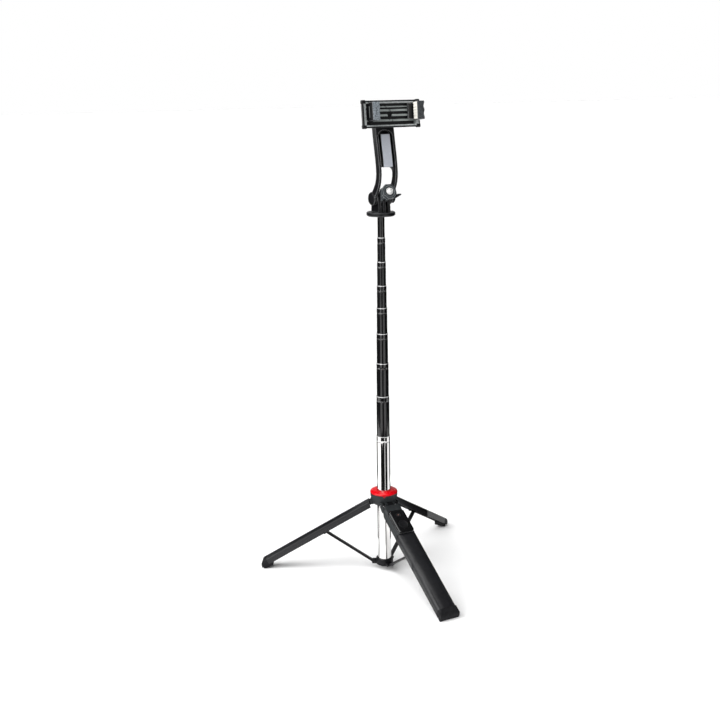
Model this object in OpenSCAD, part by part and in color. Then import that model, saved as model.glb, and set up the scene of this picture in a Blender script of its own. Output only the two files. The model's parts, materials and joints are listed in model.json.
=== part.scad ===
// A selfie stick on a folding tripod: telescoping pole, handle leg with a clip-on remote,
// tilting head and phone clamp.
// Origin: on the ground, on the pole's axis. +Z is up. The handle leg and the clamp face -Y. Millimetres.

/* [Tripod] */
// Distance from the pole's axis to each hinge line of the folding links
pivot_r = 18.5; // [17:0.1:19]
// Height of the leg hinges on the hub, with the legs open
hub_z = 119.5; // [118:0.5:121]
// Height of the brace hinges on the lower hub
lower_z = 12; // [11.5:0.5:13]
// Angle between an open brace and the vertical
open_angle = 56; // [54:0.5:58]
// Angle between a leg's channel and the line through its two hinges
leg_set = 3.2; // [2.8:0.1:3.5]
// Width of the two plain legs
leg_w = 19; // [18:0.5:20]
// Width of the handle leg
handle_w = 33; // [32:0.5:34]
// Radius of the red collar and the hub's rim
hub_r = 22.5; // [22:0.5:24]

/* [Pole] */
// Outside diameter of the chrome base tube
tube_d = 22; // [21.5:0.1:22]
// Height of the base tube's top edge
tube_top = 231.5; // [230:0.5:234]
// Number of telescoping sections inside the base tube
sections = 8; // [8:8]
// Wall thickness of every tube
tube_wall = 0.35; // [0.3:0.05:0.4]
// Radial gap between one tube and the next
tube_gap = 0.34; // [0.3:0.02:0.4]
// Length of each telescoping section
section_len = 198; // [190:1:200]

/* [Head] */
// Height of the tilt axis
tilt_z = 610; // [609:0.5:612]
// Radius of the flange under the head
flange_r = 22; // [21:0.5:23]
// Width of the forked arm
arm_w = 31; // [30.8:0.1:32]
// Front-to-back depth of the forked arm
arm_depth = 11; // [10:0.5:12]

/* [Phone clamp] */
// Width of the clamp frame
clamp_w = 95.3; // [94:0.1:97]
// Height of the clamp frame
clamp_h = 39; // [38:0.5:40]
// Height of the clamp's swivel axis
clamp_z = 734.3; // [733:0.1:736]
// Distance of the clamp's middle plane in front of the pole's axis
clamp_fwd = 29; // [28.5:0.1:30]
// Angle by which the clamp leans back
clamp_lean = 5.5; // [4:0.5:6]

/* [Hidden] */
$fn = 48;
play = 0.05;
pin_r = 1.25;
hinge_gap = 0.3;

// Folding links: hub hinge, brace hinge on the leg and lower hinge form an isosceles triangle.
half_rise = (hub_z - lower_z) / 2;
link = half_rise / cos(open_angle);
leg_slope = 90 - open_angle - leg_set;
brace_x = link * cos(leg_set);
brace_z = -link * sin(leg_set);
legs_at = [-90, 150, 30];

// Leg section, measured from the hinge line: up is outward on the closed stick.
leg_top = 4.1;
leg_low = -6.4;
leg_wall = 1.5;
leg_round = 3;
leg_from = 5;
leg_end = 205;
leg_root_slant = 2;
plug_gap = 0.15;
handle_top = 4.5;
handle_low = -9;
handle_wall = 1.8;
handle_round = 5;
neck_w = 10;
knuckle_r = 3.6;
ear_t = 3;
ears_w = neck_w + 2 * hinge_gap + 2 * ear_t;
cheek_r = 4.2;
bush_r = 12.2;
cup_low = hub_z - 5.5;
cup_high = hub_z + 15;
collar_h = 5;
arrow_at = -117;
brace_w = 6;
lower_ear_t = 2.5;
lower_knuckle_r = 2.2;
lower_ears_w = brace_w + 2 * hinge_gap + 2 * lower_ear_t;
lower_ear_r = 2.4;
brace_pin_r = 1;
hub_foot = 5.6;
hub_rim = 19;
hub_screw_r = 2.2;
core_in = 7.4;
core_out = 9.2;

// Foot profile as radius and height above the ground: a small flat sole and a slanting underside.
sole_in = 197.5;
sole_out = 201.5;
heel_r = 185.5;
heel_z = 5.6;
foot_top_r = 200.8;

// Remote and its cradle, measured along the handle from its hinge.
cradle_end = 62;
cradle_top = 3.4;
cradle_w = handle_w - 0.6;
cradle_floor = [-1.5, 0.2];
remote_x = 18;
remote_len = 41.5;
remote_w = 28;
remote_base_z = 0.6;
remote_split_z = 4.4;
remote_top_z = 7.8;
remote_r = 6;
pocket_gap = 0.3;
shutter_x = 48;
shutter_r = 7.8;
mode_x = 29;
mode_r = 4;
lamp_x = 29;
lamp_r = 0.85;
cell_x = 44;
button_rise = 0.5;

// Pole
tube_r = tube_d / 2;
tube_step = tube_wall + tube_gap;
tube_foot = 9;
lip_h = 4;
bush_h = 12;
ring_tops = [298, 352, 400, 441, 476, 513, 550.5];
function section_r(k) = tube_r - tube_step * k;

// Head
flange_t = 6;
flange_z = 583.4;
flange_top = flange_z + flange_t;
core_r = 8.2;
core_top = 598;
block_d = 24;
fin_r = 10.2;
fin_t = 4.2;
fin_pitch = 8;
prong_t = 3.6;
bolt_r = 2.5;
grub_z = 593.6;
bolt_left = -16.2;
bolt_right = 19.5;
ear_r = 10;
ear_in = 10.6;
fork_t = 3.6;
plate_tilt = 24;
plate_r = 11;
plate_back = 25;
plate_face = 31;
screw_r = 3.15;
cap_t = 1.6;
lever_tilt = 14;
lever_len = 27;
lever_t = 6.4;

// Side view of the arm: two Bezier stretches, as [forward, height].
arm_low = [[0, tilt_z], [6, tilt_z + 9], [20.5, tilt_z + 18], [20.5, tilt_z + 38]];
arm_high = [[20.5, tilt_z + 38], [20.5, tilt_z + 58], [8.5, clamp_z - 32], [6, clamp_z]];
arm_steps = 10;
arm_in = arm_w - 2 * fork_t;
window_top = 658;
recess_top = 711;
arch_r = 9;
rib_top = 705.6;
rib_w = 14.8;
disc_from = 15.8;
disc_t = 11.2;

// Clamp, measured from its swivel centre
rim_t = 4;
rim_inside = clamp_h / 2 - rim_t;
frame_front = -7;
frame_back = 7;
tray_z = 1;
back_t = 6;
rail_rows = [[10.6, 1.6], [5.5, 2.8], [-1.6, 2.8], [-8.8, 2.8]];
rail_rise = 2.4;
rail_face = tray_z - rail_rise;
nut_r = 4;
rail_end = 43;
jaw_low = -9.5;
jaw_high = 16.8;
jaw_front = -20;
jaw_left_x = -28;
jaw_right_x = 39.1;
jaw_t = 9.5;
tongue = 9.7;
pad_t = 1.6;

// ---- Shapes that repeat ----

// A cylinder along X, centred on the origin.
module rod_x(r, length) {
    rotate([0, 90, 0]) cylinder(r = r, h = length, center = true);
}

// A cylinder along Y, centred on the origin.
module rod_y(r, length) {
    rotate([90, 0, 0]) cylinder(r = r, h = length, center = true);
}

// A hexagonal prism along Y that cuts a socket for a key, centred on the origin.
module hex_socket(r, depth) {
    rotate([90, 0, 0]) cylinder(r = r, h = depth, $fn = 6, center = true);
}

// A rectangle with round corners, centred on the origin.
module round_rect(w, h, r) {
    square([w - 2 * r, h], center = true);
    square([w, h - 2 * r], center = true);
    for (x = [-1, 1]) for (y = [-1, 1]) translate([x * (w / 2 - r), y * (h / 2 - r)]) circle(r = r);
}

// Places a child drawn along +X from the origin onto an open leg: X runs down the leg and Z points outward.
module on_leg(az) {
    rotate([0, 0, az]) translate([pivot_r, 0, hub_z]) rotate([0, leg_slope, 0]) children();
}

// Extrudes a side-view outline, drawn as [along, up], to the given width across.
module side_plate(w) {
    rotate([90, 0, 0]) linear_extrude(w, center = true) children();
}

// Places a child drawn around the swivel centre onto the clamp.
module on_clamp() {
    translate([0, -clamp_fwd, clamp_z]) rotate([-clamp_lean, 0, 0]) children();
}

// ---- Hub ----

module hub_body() {
    color("#3a3f3d") difference() {
        union() {
            rotate_extrude() polygon([[bush_r, cup_low], [13.6, cup_low], [16.8, cup_low + 1.6],
                [19.2, cup_low + 4.8], [20.6, cup_low + 8.5], [21.8, cup_low + 14.5], [22.2, cup_high],
                [bush_r, cup_high]]);
            for (az = legs_at) rotate([0, 0, az]) hub_ears();
        }
        for (az = legs_at) rotate([0, 0, az]) {
            translate([13.3, -neck_w / 2 - hinge_gap, cup_low - 1]) cube([12, neck_w + 2 * hinge_gap, 10.7]);
            translate([pivot_r, 0, hub_z]) rod_y(pin_r, 40);
        }
    }
}

// The two ears that carry one leg's hinge pin.
module hub_ears() {
    translate([pivot_r, 0, hub_z]) rod_y(knuckle_r + hinge_gap, ears_w);
    translate([14, -ears_w / 2, hub_z - 2]) cube([pivot_r - 13, ears_w, 6]);
}

// A domed ring with a round shoulder, and a small arrow that points down from its edge.
module hub_collar() {
    shoulder = 1.4;
    bore = bush_r + 0.1;
    color("#e01020") union() {
        rotate_extrude() intersection() {
            translate([bore, cup_high]) square([hub_r, collar_h]);
            union() {
                polygon([[bore, cup_high], [hub_r - shoulder, cup_high],
                    [hub_r - shoulder, cup_high + 2 * shoulder], [16, cup_high + collar_h - 0.7],
                    [bore, cup_high + collar_h]]);
                translate([hub_r - shoulder, cup_high + shoulder]) circle(r = shoulder);
            }
        }
        rotate([0, 0, arrow_at]) translate([22.25, 0, cup_high + 0.2]) rotate([90, 0, 90]) linear_extrude(0.5)
            polygon([[-4.2, 0], [4.2, 0], [0, -4]]);
    }
}

module hub_bush() {
    color("#202020") rotate_extrude() {
        translate([tube_r + play, cup_low]) square([bush_r - tube_r - play, cup_high + 2 - cup_low]);
    }
}

// Two short hinge pins and, through the handle's cheeks, a long one.
module hub_pins() {
    color("silver") for (az = legs_at) rotate([0, 0, az]) translate([pivot_r, 0, hub_z])
        rod_y(pin_r, az == legs_at[0] ? handle_w + 0.4 : ears_w);
}

// ---- Lower hub and base tube ----

module lower_hub() {
    wall = 2.4;
    color("#1b1c1d") difference() {
        union() {
            rotate_extrude() polygon([[0, hub_foot], [8.6, hub_foot], [11, 7.4], [14.2, 8.9], [14.2, 17.5],
                [tube_r + wall, hub_rim], [0, hub_rim]]);
            for (az = legs_at) rotate([0, 0, az]) {
                translate([pivot_r, 0, lower_z]) rod_y(lower_ear_r, lower_ears_w);
                translate([10, -lower_ears_w / 2, lower_z - lower_ear_r])
                    cube([pivot_r - 10, lower_ears_w, 2 * lower_ear_r]);
            }
        }
        translate([0, 0, tube_foot]) cylinder(r = tube_r, h = 40);
        cylinder(r = hub_screw_r, h = hub_rim);
        for (az = legs_at) rotate([0, 0, az]) {
            translate([14.6, -brace_w / 2 - hinge_gap, 0]) cube([12, brace_w + 2 * hinge_gap, 40]);
            translate([pivot_r, 0, lower_z]) rod_y(brace_pin_r, 40);
        }
    }
}

module lower_hub_pins() {
    color("silver") for (az = legs_at) rotate([0, 0, az]) translate([pivot_r, 0, lower_z])
        rod_y(brace_pin_r, lower_ears_w);
}

module lower_hub_screw() {
    color("silver") difference() {
        union() {
            translate([0, 0, hub_foot - 1.8]) cylinder(r = 4, h = 1.8);
            translate([0, 0, hub_foot - 1]) cylinder(r = hub_screw_r, h = 14);
        }
        translate([0, 0, hub_foot - 2]) cylinder(r = 1.5, h = 1.4, $fn = 6);
    }
}

module tube_plug() {
    color("#202020") difference() {
        translate([0, 0, tube_foot]) cylinder(r = tube_r - tube_wall, h = 14);
        cylinder(r = hub_screw_r, h = 19);
    }
}

// One tube of the pole: thin wall, a shallow rolled groove under its top edge and an inward lip at the top.
module pole_tube(r, bottom, top, lip) {
    groove = 8;
    inner = r - tube_wall;
    difference() {
        translate([0, 0, bottom]) cylinder(r = r, h = top - bottom);
        translate([0, 0, bottom - 1]) cylinder(r = inner, h = top - bottom - (lip ? lip_h : 0) + 1);
        translate([0, 0, bottom - 1]) cylinder(r = lip ? r - tube_step + play : inner, h = top - bottom + 2);
        rotate_extrude() translate([r + 0.5, top - groove]) circle(r = 0.62);
    }
}

module base_tube() {
    color("#d8dadc") pole_tube(tube_r, tube_foot, tube_top, true);
}

// A telescoping section and the friction bush on its lower end.
module section(k) {
    r = section_r(k);
    top = k == sections ? core_top - 2.1 : ring_tops[k - 1];
    bottom = (k == sections ? flange_z : top) - section_len;
    color("#1a1a1c") pole_tube(r, bottom, top, k < sections);
    color("#d8d8d0") difference() {
        translate([0, 0, bottom]) cylinder(r = r + tube_gap - play, h = bush_h);
        translate([0, 0, bottom - 1]) cylinder(r = r, h = bush_h + 2);
    }
}

// ---- Legs ----

// Side view of a leg's channel or shell between two distances, with a slanting cut at the hinge end.
module shell_side(from, to, slant, top, low) {
    polygon([[from, top], [to, top], [to, low], [from + slant, low]]);
}

// Cross-section of a leg: a rounded bar as [across, up].
module shell_section(w, top, low, r) {
    translate([-w / 2, low]) square([w, top - low - r]);
    translate([-w / 2 + r, low]) square([w - 2 * r, top - low]);
    for (s = [-1, 1]) translate([s * (w / 2 - r), top - r]) circle(r = r);
}

// A solid bar with a leg's cross-section.
module leg_bar(from, to, w, top, low, r) {
    translate([from, 0, 0]) rotate([90, 0, 90]) linear_extrude(to - from) shell_section(w, top, low, r);
}

// A U-shaped shell that is open underneath.
module leg_shell(from, to, slant, w, top, low, wall, r) {
    intersection() {
        difference() {
            leg_bar(from, to, w, top, low, r);
            leg_bar(from - 1, to + 1, w - 2 * wall, top - wall, low - 1, r - wall / 2);
        }
        side_plate(w + 2) shell_side(from, to, slant, top, low);
    }
}

// Round bosses on the inside of the walls that hold a brace pin, at the given distance across.
module brace_bosses(in, out) {
    for (s = [-1, 1]) translate([brace_x, s * (in + out) / 2, brace_z]) rod_y(2.5, out - in);
}

module leg_channel(az) {
    color("#222324") on_leg(az) difference() {
        union() {
            leg_shell(leg_from, leg_end, leg_root_slant, leg_w, leg_top, leg_low, leg_wall, leg_round);
            brace_bosses(leg_w / 2 - leg_wall, leg_w / 2);
        }
        translate([brace_x, 0, brace_z]) rod_y(brace_pin_r, 40);
    }
}

// The hinge end of a leg: a knuckle on a neck, with a block that plugs into the channel.
module leg_knuckle(az) {
    block_w = leg_w - 2 * leg_wall - 0.2;
    neck_top = 2.4;
    neck_low = -3.4;
    color("#1b1c1d") on_leg(az) difference() {
        union() {
            rod_y(knuckle_r, neck_w);
            side_plate(neck_w) polygon([[0, knuckle_r], [0, -knuckle_r], [8, neck_low], [22, neck_low],
                [22, neck_top], [8, neck_top]]);
            leg_bar(14, 26, block_w, neck_top, neck_low, neck_top);
        }
        rod_y(pin_r + play, 40);
    }
}

// The handle's knuckle: its block lies under the floor of the remote's cradle.
module handle_knuckle() {
    block_w = cradle_w - 2 * handle_wall - 0.2;
    block_top = cradle_floor[0];
    block_low = -6.5;
    color("#1b1c1d") on_leg(-90) difference() {
        union() {
            rod_y(knuckle_r, neck_w);
            side_plate(neck_w) polygon([[0, knuckle_r], [0, -knuckle_r], [10, block_low], [20, block_low],
                [20, block_top], [11, block_top], [6, 1.4], [4, 2.6]]);
            translate([14, -block_w / 2, block_low]) cube([12, block_w, block_top - block_low]);
        }
        rod_y(pin_r + play, 40);
    }
}

// Height of a line parallel to the leg, at a distance from its hinge line, above a radius on the ground.
function leg_line(d, r) = hub_z + d / cos(leg_slope) - (r - pivot_r) * tan(leg_slope);

// Side view of a foot's end cap as [radius, height]: a small sole, a rounded tip and a top in line
// with the leg's.
module cap_side(top) {
    polygon([[sole_in, 0], [sole_out, 0], [sole_out + 1.6, 2.6], [sole_out + 2.7, 6], [sole_out + 2.9, 9],
        [sole_out + 2.2, 12], [sole_out + 0.9, 14.2], [foot_top_r, leg_line(top, foot_top_r)],
        [180, leg_line(top, 180)], [180, 8], [heel_r + 2, heel_z]]);
}

// Side view of the heel that hangs under the leg's end, behind the sole.
module heel_side(low) {
    polygon([[sole_in, 0], [sole_out, 0], [sole_out, 3], [200, leg_line(low, 192)], [192, leg_line(low, 192)],
        [heel_r - 1, leg_line(low, heel_r - 1)], [heel_r, heel_z]]);
}

// A foot: an end cap in the leg's cross-section, a heel under it, and a plug inside the leg.
module leg_foot(az, w, top, low, wall, round_r, heel_w, band) {
    color("#161718") union() {
        difference() {
            intersection() {
                rotate([0, 0, az]) side_plate(w) cap_side(top);
                on_leg(az) leg_bar(leg_end + 0.15, leg_end + 40, w, top, low, round_r);
            }
            if (band) on_leg(az) difference() {
                translate([leg_end + 6, -w, low - 5]) cube([0.9, 2 * w, 40]);
                leg_bar(leg_end, leg_end + 20, w - 1.2, top - 0.6, low - 9, round_r);
            }
        }
        rotate([0, 0, az]) side_plate(heel_w) heel_side(low);
        on_leg(az) leg_bar(leg_end - 9, leg_end + 3, w - 2 * wall - 2 * plug_gap, top - wall - plug_gap, -4.5,
            round_r - wall / 2);
    }
}

module handle_foot() {
    leg_foot(-90, handle_w, handle_top, handle_low, handle_wall, handle_round, 16, true);
}

module plain_foot(az) {
    leg_foot(az, leg_w, leg_top, leg_low, leg_wall, leg_round, 13, false);
}

module brace_pin(az, length) {
    color("silver") on_leg(az) translate([brace_x, 0, brace_z]) rod_y(brace_pin_r, length);
}

// A brace: a flat bar with a knuckle on the lower hub and a wider tube on the leg's brace pin.
module brace(az, head_w) {
    rise = 90 - open_angle;
    color("#1b1c1d") rotate([0, 0, az]) translate([pivot_r, 0, lower_z]) rotate([0, -rise, 0]) difference() {
        union() {
            rod_y(lower_knuckle_r, brace_w);
            translate([0, -brace_w / 2, -1.5]) cube([link, brace_w, 3]);
            translate([link, 0, 0]) rod_y(2, head_w);
        }
        rod_y(brace_pin_r + play, 40);
        translate([link, 0, 0]) rod_y(brace_pin_r + play, 40);
    }
}

// ---- Handle leg ----

module handle_shell() {
    color("#222324") on_leg(-90)
        leg_shell(cradle_end, leg_end, 0, handle_w, handle_top, handle_low, handle_wall, handle_round);
}

// The handle's upper end: a shell with two cheeks round the hinge pin, a floor under the remote and a
// tenon in the grip.
module remote_cradle() {
    inner_w = cradle_w - 2 * handle_wall;
    tenon_w = handle_w - 2 * handle_wall - 2 * plug_gap;
    color("#343937") on_leg(-90) difference() {
        union() {
            leg_shell(leg_from, cradle_end - 0.1, cradle_top - handle_low, cradle_w, cradle_top, handle_low,
                handle_wall, handle_round);
            leg_shell(cradle_end - 2, cradle_end + 8, 0, tenon_w, handle_top - handle_wall - plug_gap, -6.8,
                1.2, 4);
            difference() {
                side_plate(cradle_w) {
                    circle(r = cheek_r);
                    polygon([[0, cheek_r], [9, cradle_top], [14, -3], [9, -7], [0, -cheek_r]]);
                }
                translate([-10, -inner_w / 2, -20]) cube([40, inner_w, 40]);
            }
            translate([12, -inner_w / 2 - 0.2, cradle_floor[0]])
                cube([cradle_end - 12, inner_w + 0.4, cradle_floor[1] - cradle_floor[0]]);
        }
        rod_y(pin_r + play, 60);
        remote_outline(pocket_gap, cradle_floor[1], 20);
    }
}

// The inner cover: two walls beside the brace slot, flanges out to the shell and a cross rib.
module handle_cover() {
    flange_out = handle_w / 2 - handle_wall - 0.05;
    cover_from = cradle_end + 2;
    cover_len = 120;
    cover_low = handle_low + 0.4;
    wall_top = -1.7;
    color("#1b1c1d") on_leg(-90) difference() {
        union() {
            for (s = [-1, 1]) {
                translate([cover_from, s * (core_in + core_out) / 2 - (core_out - core_in) / 2, cover_low])
                    cube([cover_len, core_out - core_in, wall_top - cover_low]);
                translate([cover_from, s > 0 ? core_in : -flange_out, cover_low])
                    cube([cover_len, flange_out - core_in, 1.6]);
            }
            translate([cover_from + 4, -core_out, wall_top - 0.8]) cube([6, 2 * core_out, 1.2]);
            brace_bosses(core_in, core_out);
        }
        translate([brace_x, 0, brace_z]) rod_y(brace_pin_r, 40);
    }
}

// ---- Remote ----

// The remote's outline, grown by a gap, between two heights above the hinge line.
module remote_outline(gap, low, high) {
    translate([remote_x + remote_len / 2, 0, low]) linear_extrude(high - low)
        round_rect(remote_len + 2 * gap, remote_w + 2 * gap, remote_r + gap);
}

module remote_top() {
    color("#17181a") on_leg(-90) difference() {
        union() {
            remote_outline(0, remote_split_z, remote_top_z - 1.2);
            remote_outline(-1.2, remote_top_z - 1.3, remote_top_z);
        }
        remote_outline(-1.5, remote_split_z - 1, remote_top_z - 1.5);
        translate([shutter_x, 0, 0]) cylinder(r = shutter_r + 0.25, h = 20);
        translate([mode_x, 0, 0]) cylinder(r = mode_r + 0.25, h = 20);
    }
}

module remote_base() {
    color("#17181a") on_leg(-90) difference() {
        remote_outline(0, remote_base_z, remote_split_z);
        remote_outline(-1.5, remote_base_z + 1.2, remote_split_z + 1);
        translate([cell_x, 0, 0]) cylinder(r = 10.4, h = 4);
    }
}

module battery_door() {
    color("#202124") on_leg(-90) difference() {
        translate([cell_x, 0, remote_base_z + 0.1]) cylinder(r = 10.3, h = 1);
        translate([cell_x - 5, -0.8, remote_base_z - 1]) cube([10, 1.6, 1.6]);
    }
}

module coin_cell() {
    color("silver") on_leg(-90) translate([cell_x, 0, remote_base_z + 1.2]) cylinder(r = 10, h = 1.6);
}

module remote_board() {
    color("#1f5a36") on_leg(-90) remote_outline(-2, remote_base_z + 2.9, remote_base_z + 3.7);
}

// A button with a rim that stays under the case top, so it can't fall out.
module button(x, r) {
    translate([x, 0, remote_top_z - 2.4]) cylinder(r = r, h = 2.4 + button_rise);
    translate([x, 0, remote_top_z - 2.6]) cylinder(r = r + 0.7, h = 1);
}

module shutter_button() {
    color("#17181a") on_leg(-90) difference() {
        button(shutter_x, shutter_r);
        translate([shutter_x, 0, remote_top_z + button_rise + 25.2]) sphere(r = 26);
    }
}

// The small button is a ring round the lamp's window.
module mode_button() {
    color("#17181a") on_leg(-90) difference() {
        button(mode_x, mode_r);
        translate([lamp_x, 0, 0]) cylinder(r = lamp_r + 0.1, h = 20);
    }
}

module status_lamp() {
    color("#f4f4f4") on_leg(-90) translate([lamp_x, 0, remote_top_z - 3]) cylinder(r = lamp_r, h = 3.3);
}

// ---- Head ----

module head_base() {
    bore_r = section_r(sections) + play;
    color("#17181a") difference() {
        union() {
            rotate_extrude() polygon([[0, flange_z], [flange_r - 1.5, flange_z], [flange_r, flange_z + 1.5],
                [flange_r, flange_top - 1], [flange_r - 1, flange_top], [0, flange_top]]);
            translate([0, 0, flange_z + 1]) cylinder(r = core_r, h = core_top - flange_z - 1);
            for (i = [-1, 0, 1]) translate([i * fin_pitch, 0, 0]) fin();
        }
        translate([0, 0, flange_z - 1]) cylinder(r = bore_r, h = core_top - flange_z - 1);
        translate([0, 0, tilt_z]) rod_x(bolt_r + play, 60);
        translate([0, block_d / 2, grub_z]) rod_y(1.5, 12);
    }
}

// One fin: a plate that narrows upward and ends round at the tilt axis.
module fin() {
    foot_z = flange_top - 1;
    rotate([90, 0, 90]) linear_extrude(fin_t, center = true) {
        translate([0, tilt_z]) circle(r = fin_r);
        polygon([[-block_d / 2, foot_z], [block_d / 2, foot_z], [block_d / 2, foot_z + 6], [fin_r, tilt_z],
            [-fin_r, tilt_z], [-block_d / 2, foot_z + 6]]);
    }
}

module head_grub_screw() {
    color("silver") difference() {
        translate([0, 9, grub_z]) rod_y(1.5, 5.8);
        translate([0, block_d / 2, grub_z]) hex_socket(0.9, 3);
    }
}

// The camera plate: two prongs between the fins, a neck and an octagonal plate, tilted up from the
// forward direction.
module camera_plate() {
    color("#2a2c2e") translate([0, 0, tilt_z]) rotate([-plate_tilt, 0, 0]) difference() {
        union() {
            for (s = [-1, 1]) translate([s * fin_pitch / 2, 0, 0]) {
                rod_x(8.8, prong_t);
                translate([-prong_t / 2, -plate_back + 4, -7]) cube([prong_t, plate_back - 4, 14]);
            }
            translate([-9, -plate_back - 0.5, -7.5]) cube([18, 8, 15]);
            translate([0, -plate_back, 0]) rotate([90, 0, 0]) rotate([0, 0, 22.5])
                cylinder(r = plate_r / cos(22.5), h = plate_face - plate_back, $fn = 8);
        }
        rod_x(bolt_r + play, 60);
        translate([0, -plate_face, 0]) rod_y(screw_r, 24);
        translate([0, -plate_face, 0]) rod_y(8.2, 1.6);
    }
}

module camera_screw() {
    color("#c8cacc") translate([0, 0, tilt_z]) rotate([-plate_tilt, 0, 0]) difference() {
        union() {
            translate([0, -plate_face + 3.2, 0]) rod_y(screw_r, 17.6);
            translate([0, -plate_face + 0.1, 0]) rod_y(5.4, 1.4);
        }
        translate([0, -plate_face - 5.6, 0]) hex_socket(1.7, 5);
    }
}

module tilt_bolt() {
    middle = (bolt_left + bolt_right) / 2;
    color("silver") translate([middle, 0, tilt_z]) rod_x(bolt_r, bolt_right - bolt_left);
}

module tilt_cap() {
    color("#17181a") translate([-arm_w / 2 - 0.1, 0, tilt_z]) rotate([0, -90, 0]) difference() {
        rotate_extrude() polygon([[0, 0], [9.4, 0], [9.4, cap_t - 0.8], [8.6, cap_t], [0, cap_t]]);
        translate([0, 0, -1]) cylinder(r = bolt_r, h = 1.7);
    }
}

// The lever that tightens the tilt: a round boss with a stepped face and a thin blade that points forward.
module tilt_lever() {
    color("#17181a") translate([arm_w / 2 + 0.1, 0, tilt_z]) rotate([-lever_tilt, 0, 0]) difference() {
        union() {
            rotate([0, 90, 0]) rotate_extrude() polygon([[0, 0], [8.6, 0], [8.6, lever_t - 1.6],
                [7.6, lever_t - 0.6], [6, lever_t], [0, lever_t]]);
            translate([lever_t - 3.6, 0, 0]) rotate([90, 0, 90]) linear_extrude(2.6)
                polygon([[0, 4], [-lever_len + 3, 1.5], [-lever_len, 0.7], [-lever_len, -0.5],
                    [-lever_len + 3, -1.3], [0, -4]]);
        }
        rotate([0, 90, 0]) translate([0, 0, -1]) cylinder(r = bolt_r + play, h = 5.1);
    }
}

// ---- Forked arm ----

function bezier(p, t) = p[0] * pow(1 - t, 3) + 3 * p[1] * t * pow(1 - t, 2) + 3 * p[2] * t * t * (1 - t)
    + p[3] * pow(t, 3);
function slope_of(p, t) = 3 * (p[1] - p[0]) * pow(1 - t, 2) + 6 * (p[2] - p[1]) * t * (1 - t)
    + 3 * (p[3] - p[2]) * t * t;
function beside(p, t, d) = bezier(p, t) + d * [slope_of(p, t)[1], -slope_of(p, t)[0]] / norm(slope_of(p, t));
function arm_line(d) = concat([for (i = [0 : arm_steps - 1]) beside(arm_low, i / arm_steps, d)],
    [for (i = [0 : arm_steps]) beside(arm_high, i / arm_steps, d)]);
function backwards(list) = [for (i = [len(list) - 1 : -1 : 0]) list[i]];

// A slice of the arm between two depths in front of its middle line, centred across with the given width.
module arm_slice(back, front, w) {
    rotate([90, 0, -90]) linear_extrude(w, center = true)
        polygon(concat(arm_line(back), backwards(arm_line(front))));
}

// A block that spans the arm's depth, between two heights, centred across.
module arm_zone(w, low, high) {
    translate([-w / 2, -60, low]) cube([w, 90, high - low]);
}

module fork_arm() {
    front = arm_depth / 2;
    color("#1a1b1d") difference() {
        union() {
            difference() {
                arm_slice(-front, front, arm_w);
                intersection() {
                    arm_slice(-front + 3, front + 2, arm_in);
                    arch(recess_top);
                }
                intersection() {
                    arm_slice(-front - 2, front + 2, arm_in);
                    arch(window_top);
                }
            }
            intersection() {
                arm_slice(-front + 2, front - 1.4, rib_w);
                arm_zone(rib_w, window_top - 0.4, rib_top);
            }
            for (s = [-1, 1]) translate([s * (arm_w / 2 + ear_in) / 2, 0, tilt_z])
                rod_x(ear_r, arm_w / 2 - ear_in);
            on_clamp() translate([0, disc_from + disc_t / 2, 0]) rod_y(arm_w / 2, disc_t);
        }
        translate([0, 0, tilt_z]) rod_x(bolt_r + play, 60);
        arm_zone(2 * ear_in, tilt_z - 14, tilt_z + 12);
        on_clamp() rod_y(bolt_r + play, 120);
        on_clamp() translate([0, disc_from + disc_t, 0]) rod_y(5.4, 7);
        on_clamp() clamp_box([-30, 0, -30], [30, disc_from, 0]);
    }
}

// An opening as wide as the fork's inside, arched at its top, through the whole depth.
module arch(top) {
    rotate([90, 0, 0]) linear_extrude(120, center = true) {
        translate([-arm_in / 2, 600]) square([arm_in, top - arch_r - 600]);
        translate([-arm_in / 2 + arch_r, 600]) square([arm_in - 2 * arch_r, top - 600]);
        for (s = [-1, 1]) translate([s * (arm_in / 2 - arch_r), top - arch_r]) circle(r = arch_r);
    }
}

module arm_plate() {
    front = arm_depth / 2;
    color("#c9d2dc") intersection() {
        arm_slice(front - 1.4, front + 0.4, rib_w);
        arm_zone(rib_w - 0.4, window_top, rib_top - 0.4);
    }
}

// ---- Phone clamp ----

// A box on the clamp between two corners, given as [across, depth, up].
module clamp_box(low, high) {
    translate(low) cube(high - low);
}

module clamp_frame() {
    half_w = clamp_w / 2;
    half_h = clamp_h / 2;
    lug = [7, 14.6, 5.5];
    color("#1e1f21") on_clamp() difference() {
        union() {
            rotate([90, 0, 0]) linear_extrude(frame_back - frame_front, center = true)
                round_rect(clamp_w, clamp_h, 2.5);
            for (x = [-1, 1]) for (z = [-1, 1]) translate([x * (half_w - 2.9), 0, z * (half_h - 1.9)])
                cube(lug, center = true);
        }
        translate([0, -10 + tray_z, 0]) rotate([90, 0, 0]) linear_extrude(20, center = true)
            round_rect(clamp_w - 2 * rim_t, clamp_h - 2 * rim_t, 1.5);
        rod_y(bolt_r + play, 40);
        translate([0, tray_z, 0]) rod_y(nut_r + 0.15, 7.2);
        clamp_box([half_w - rim_t - 1, -9, jaw_low - 0.4], [half_w + 2, rail_face, jaw_high + 0.4]);
    }
}

module clamp_back() {
    color("#17181a") on_clamp() difference() {
        union() {
            translate([0, frame_back + back_t / 2, 0]) rotate([90, 0, 0])
                linear_extrude(back_t, center = true)
                round_rect(60, 33, 6);
            translate([0, frame_back + back_t + 1, 0]) rod_y(12, 3.4);
        }
        rod_y(bolt_r + play, 60);
        clamp_box([-27, frame_back - 1, -13.5], [-8, frame_back + back_t - 2, 13.5]);
        clamp_box([8, frame_back - 1, -13.5], [27, frame_back + back_t - 2, 13.5]);
    }
}

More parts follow.
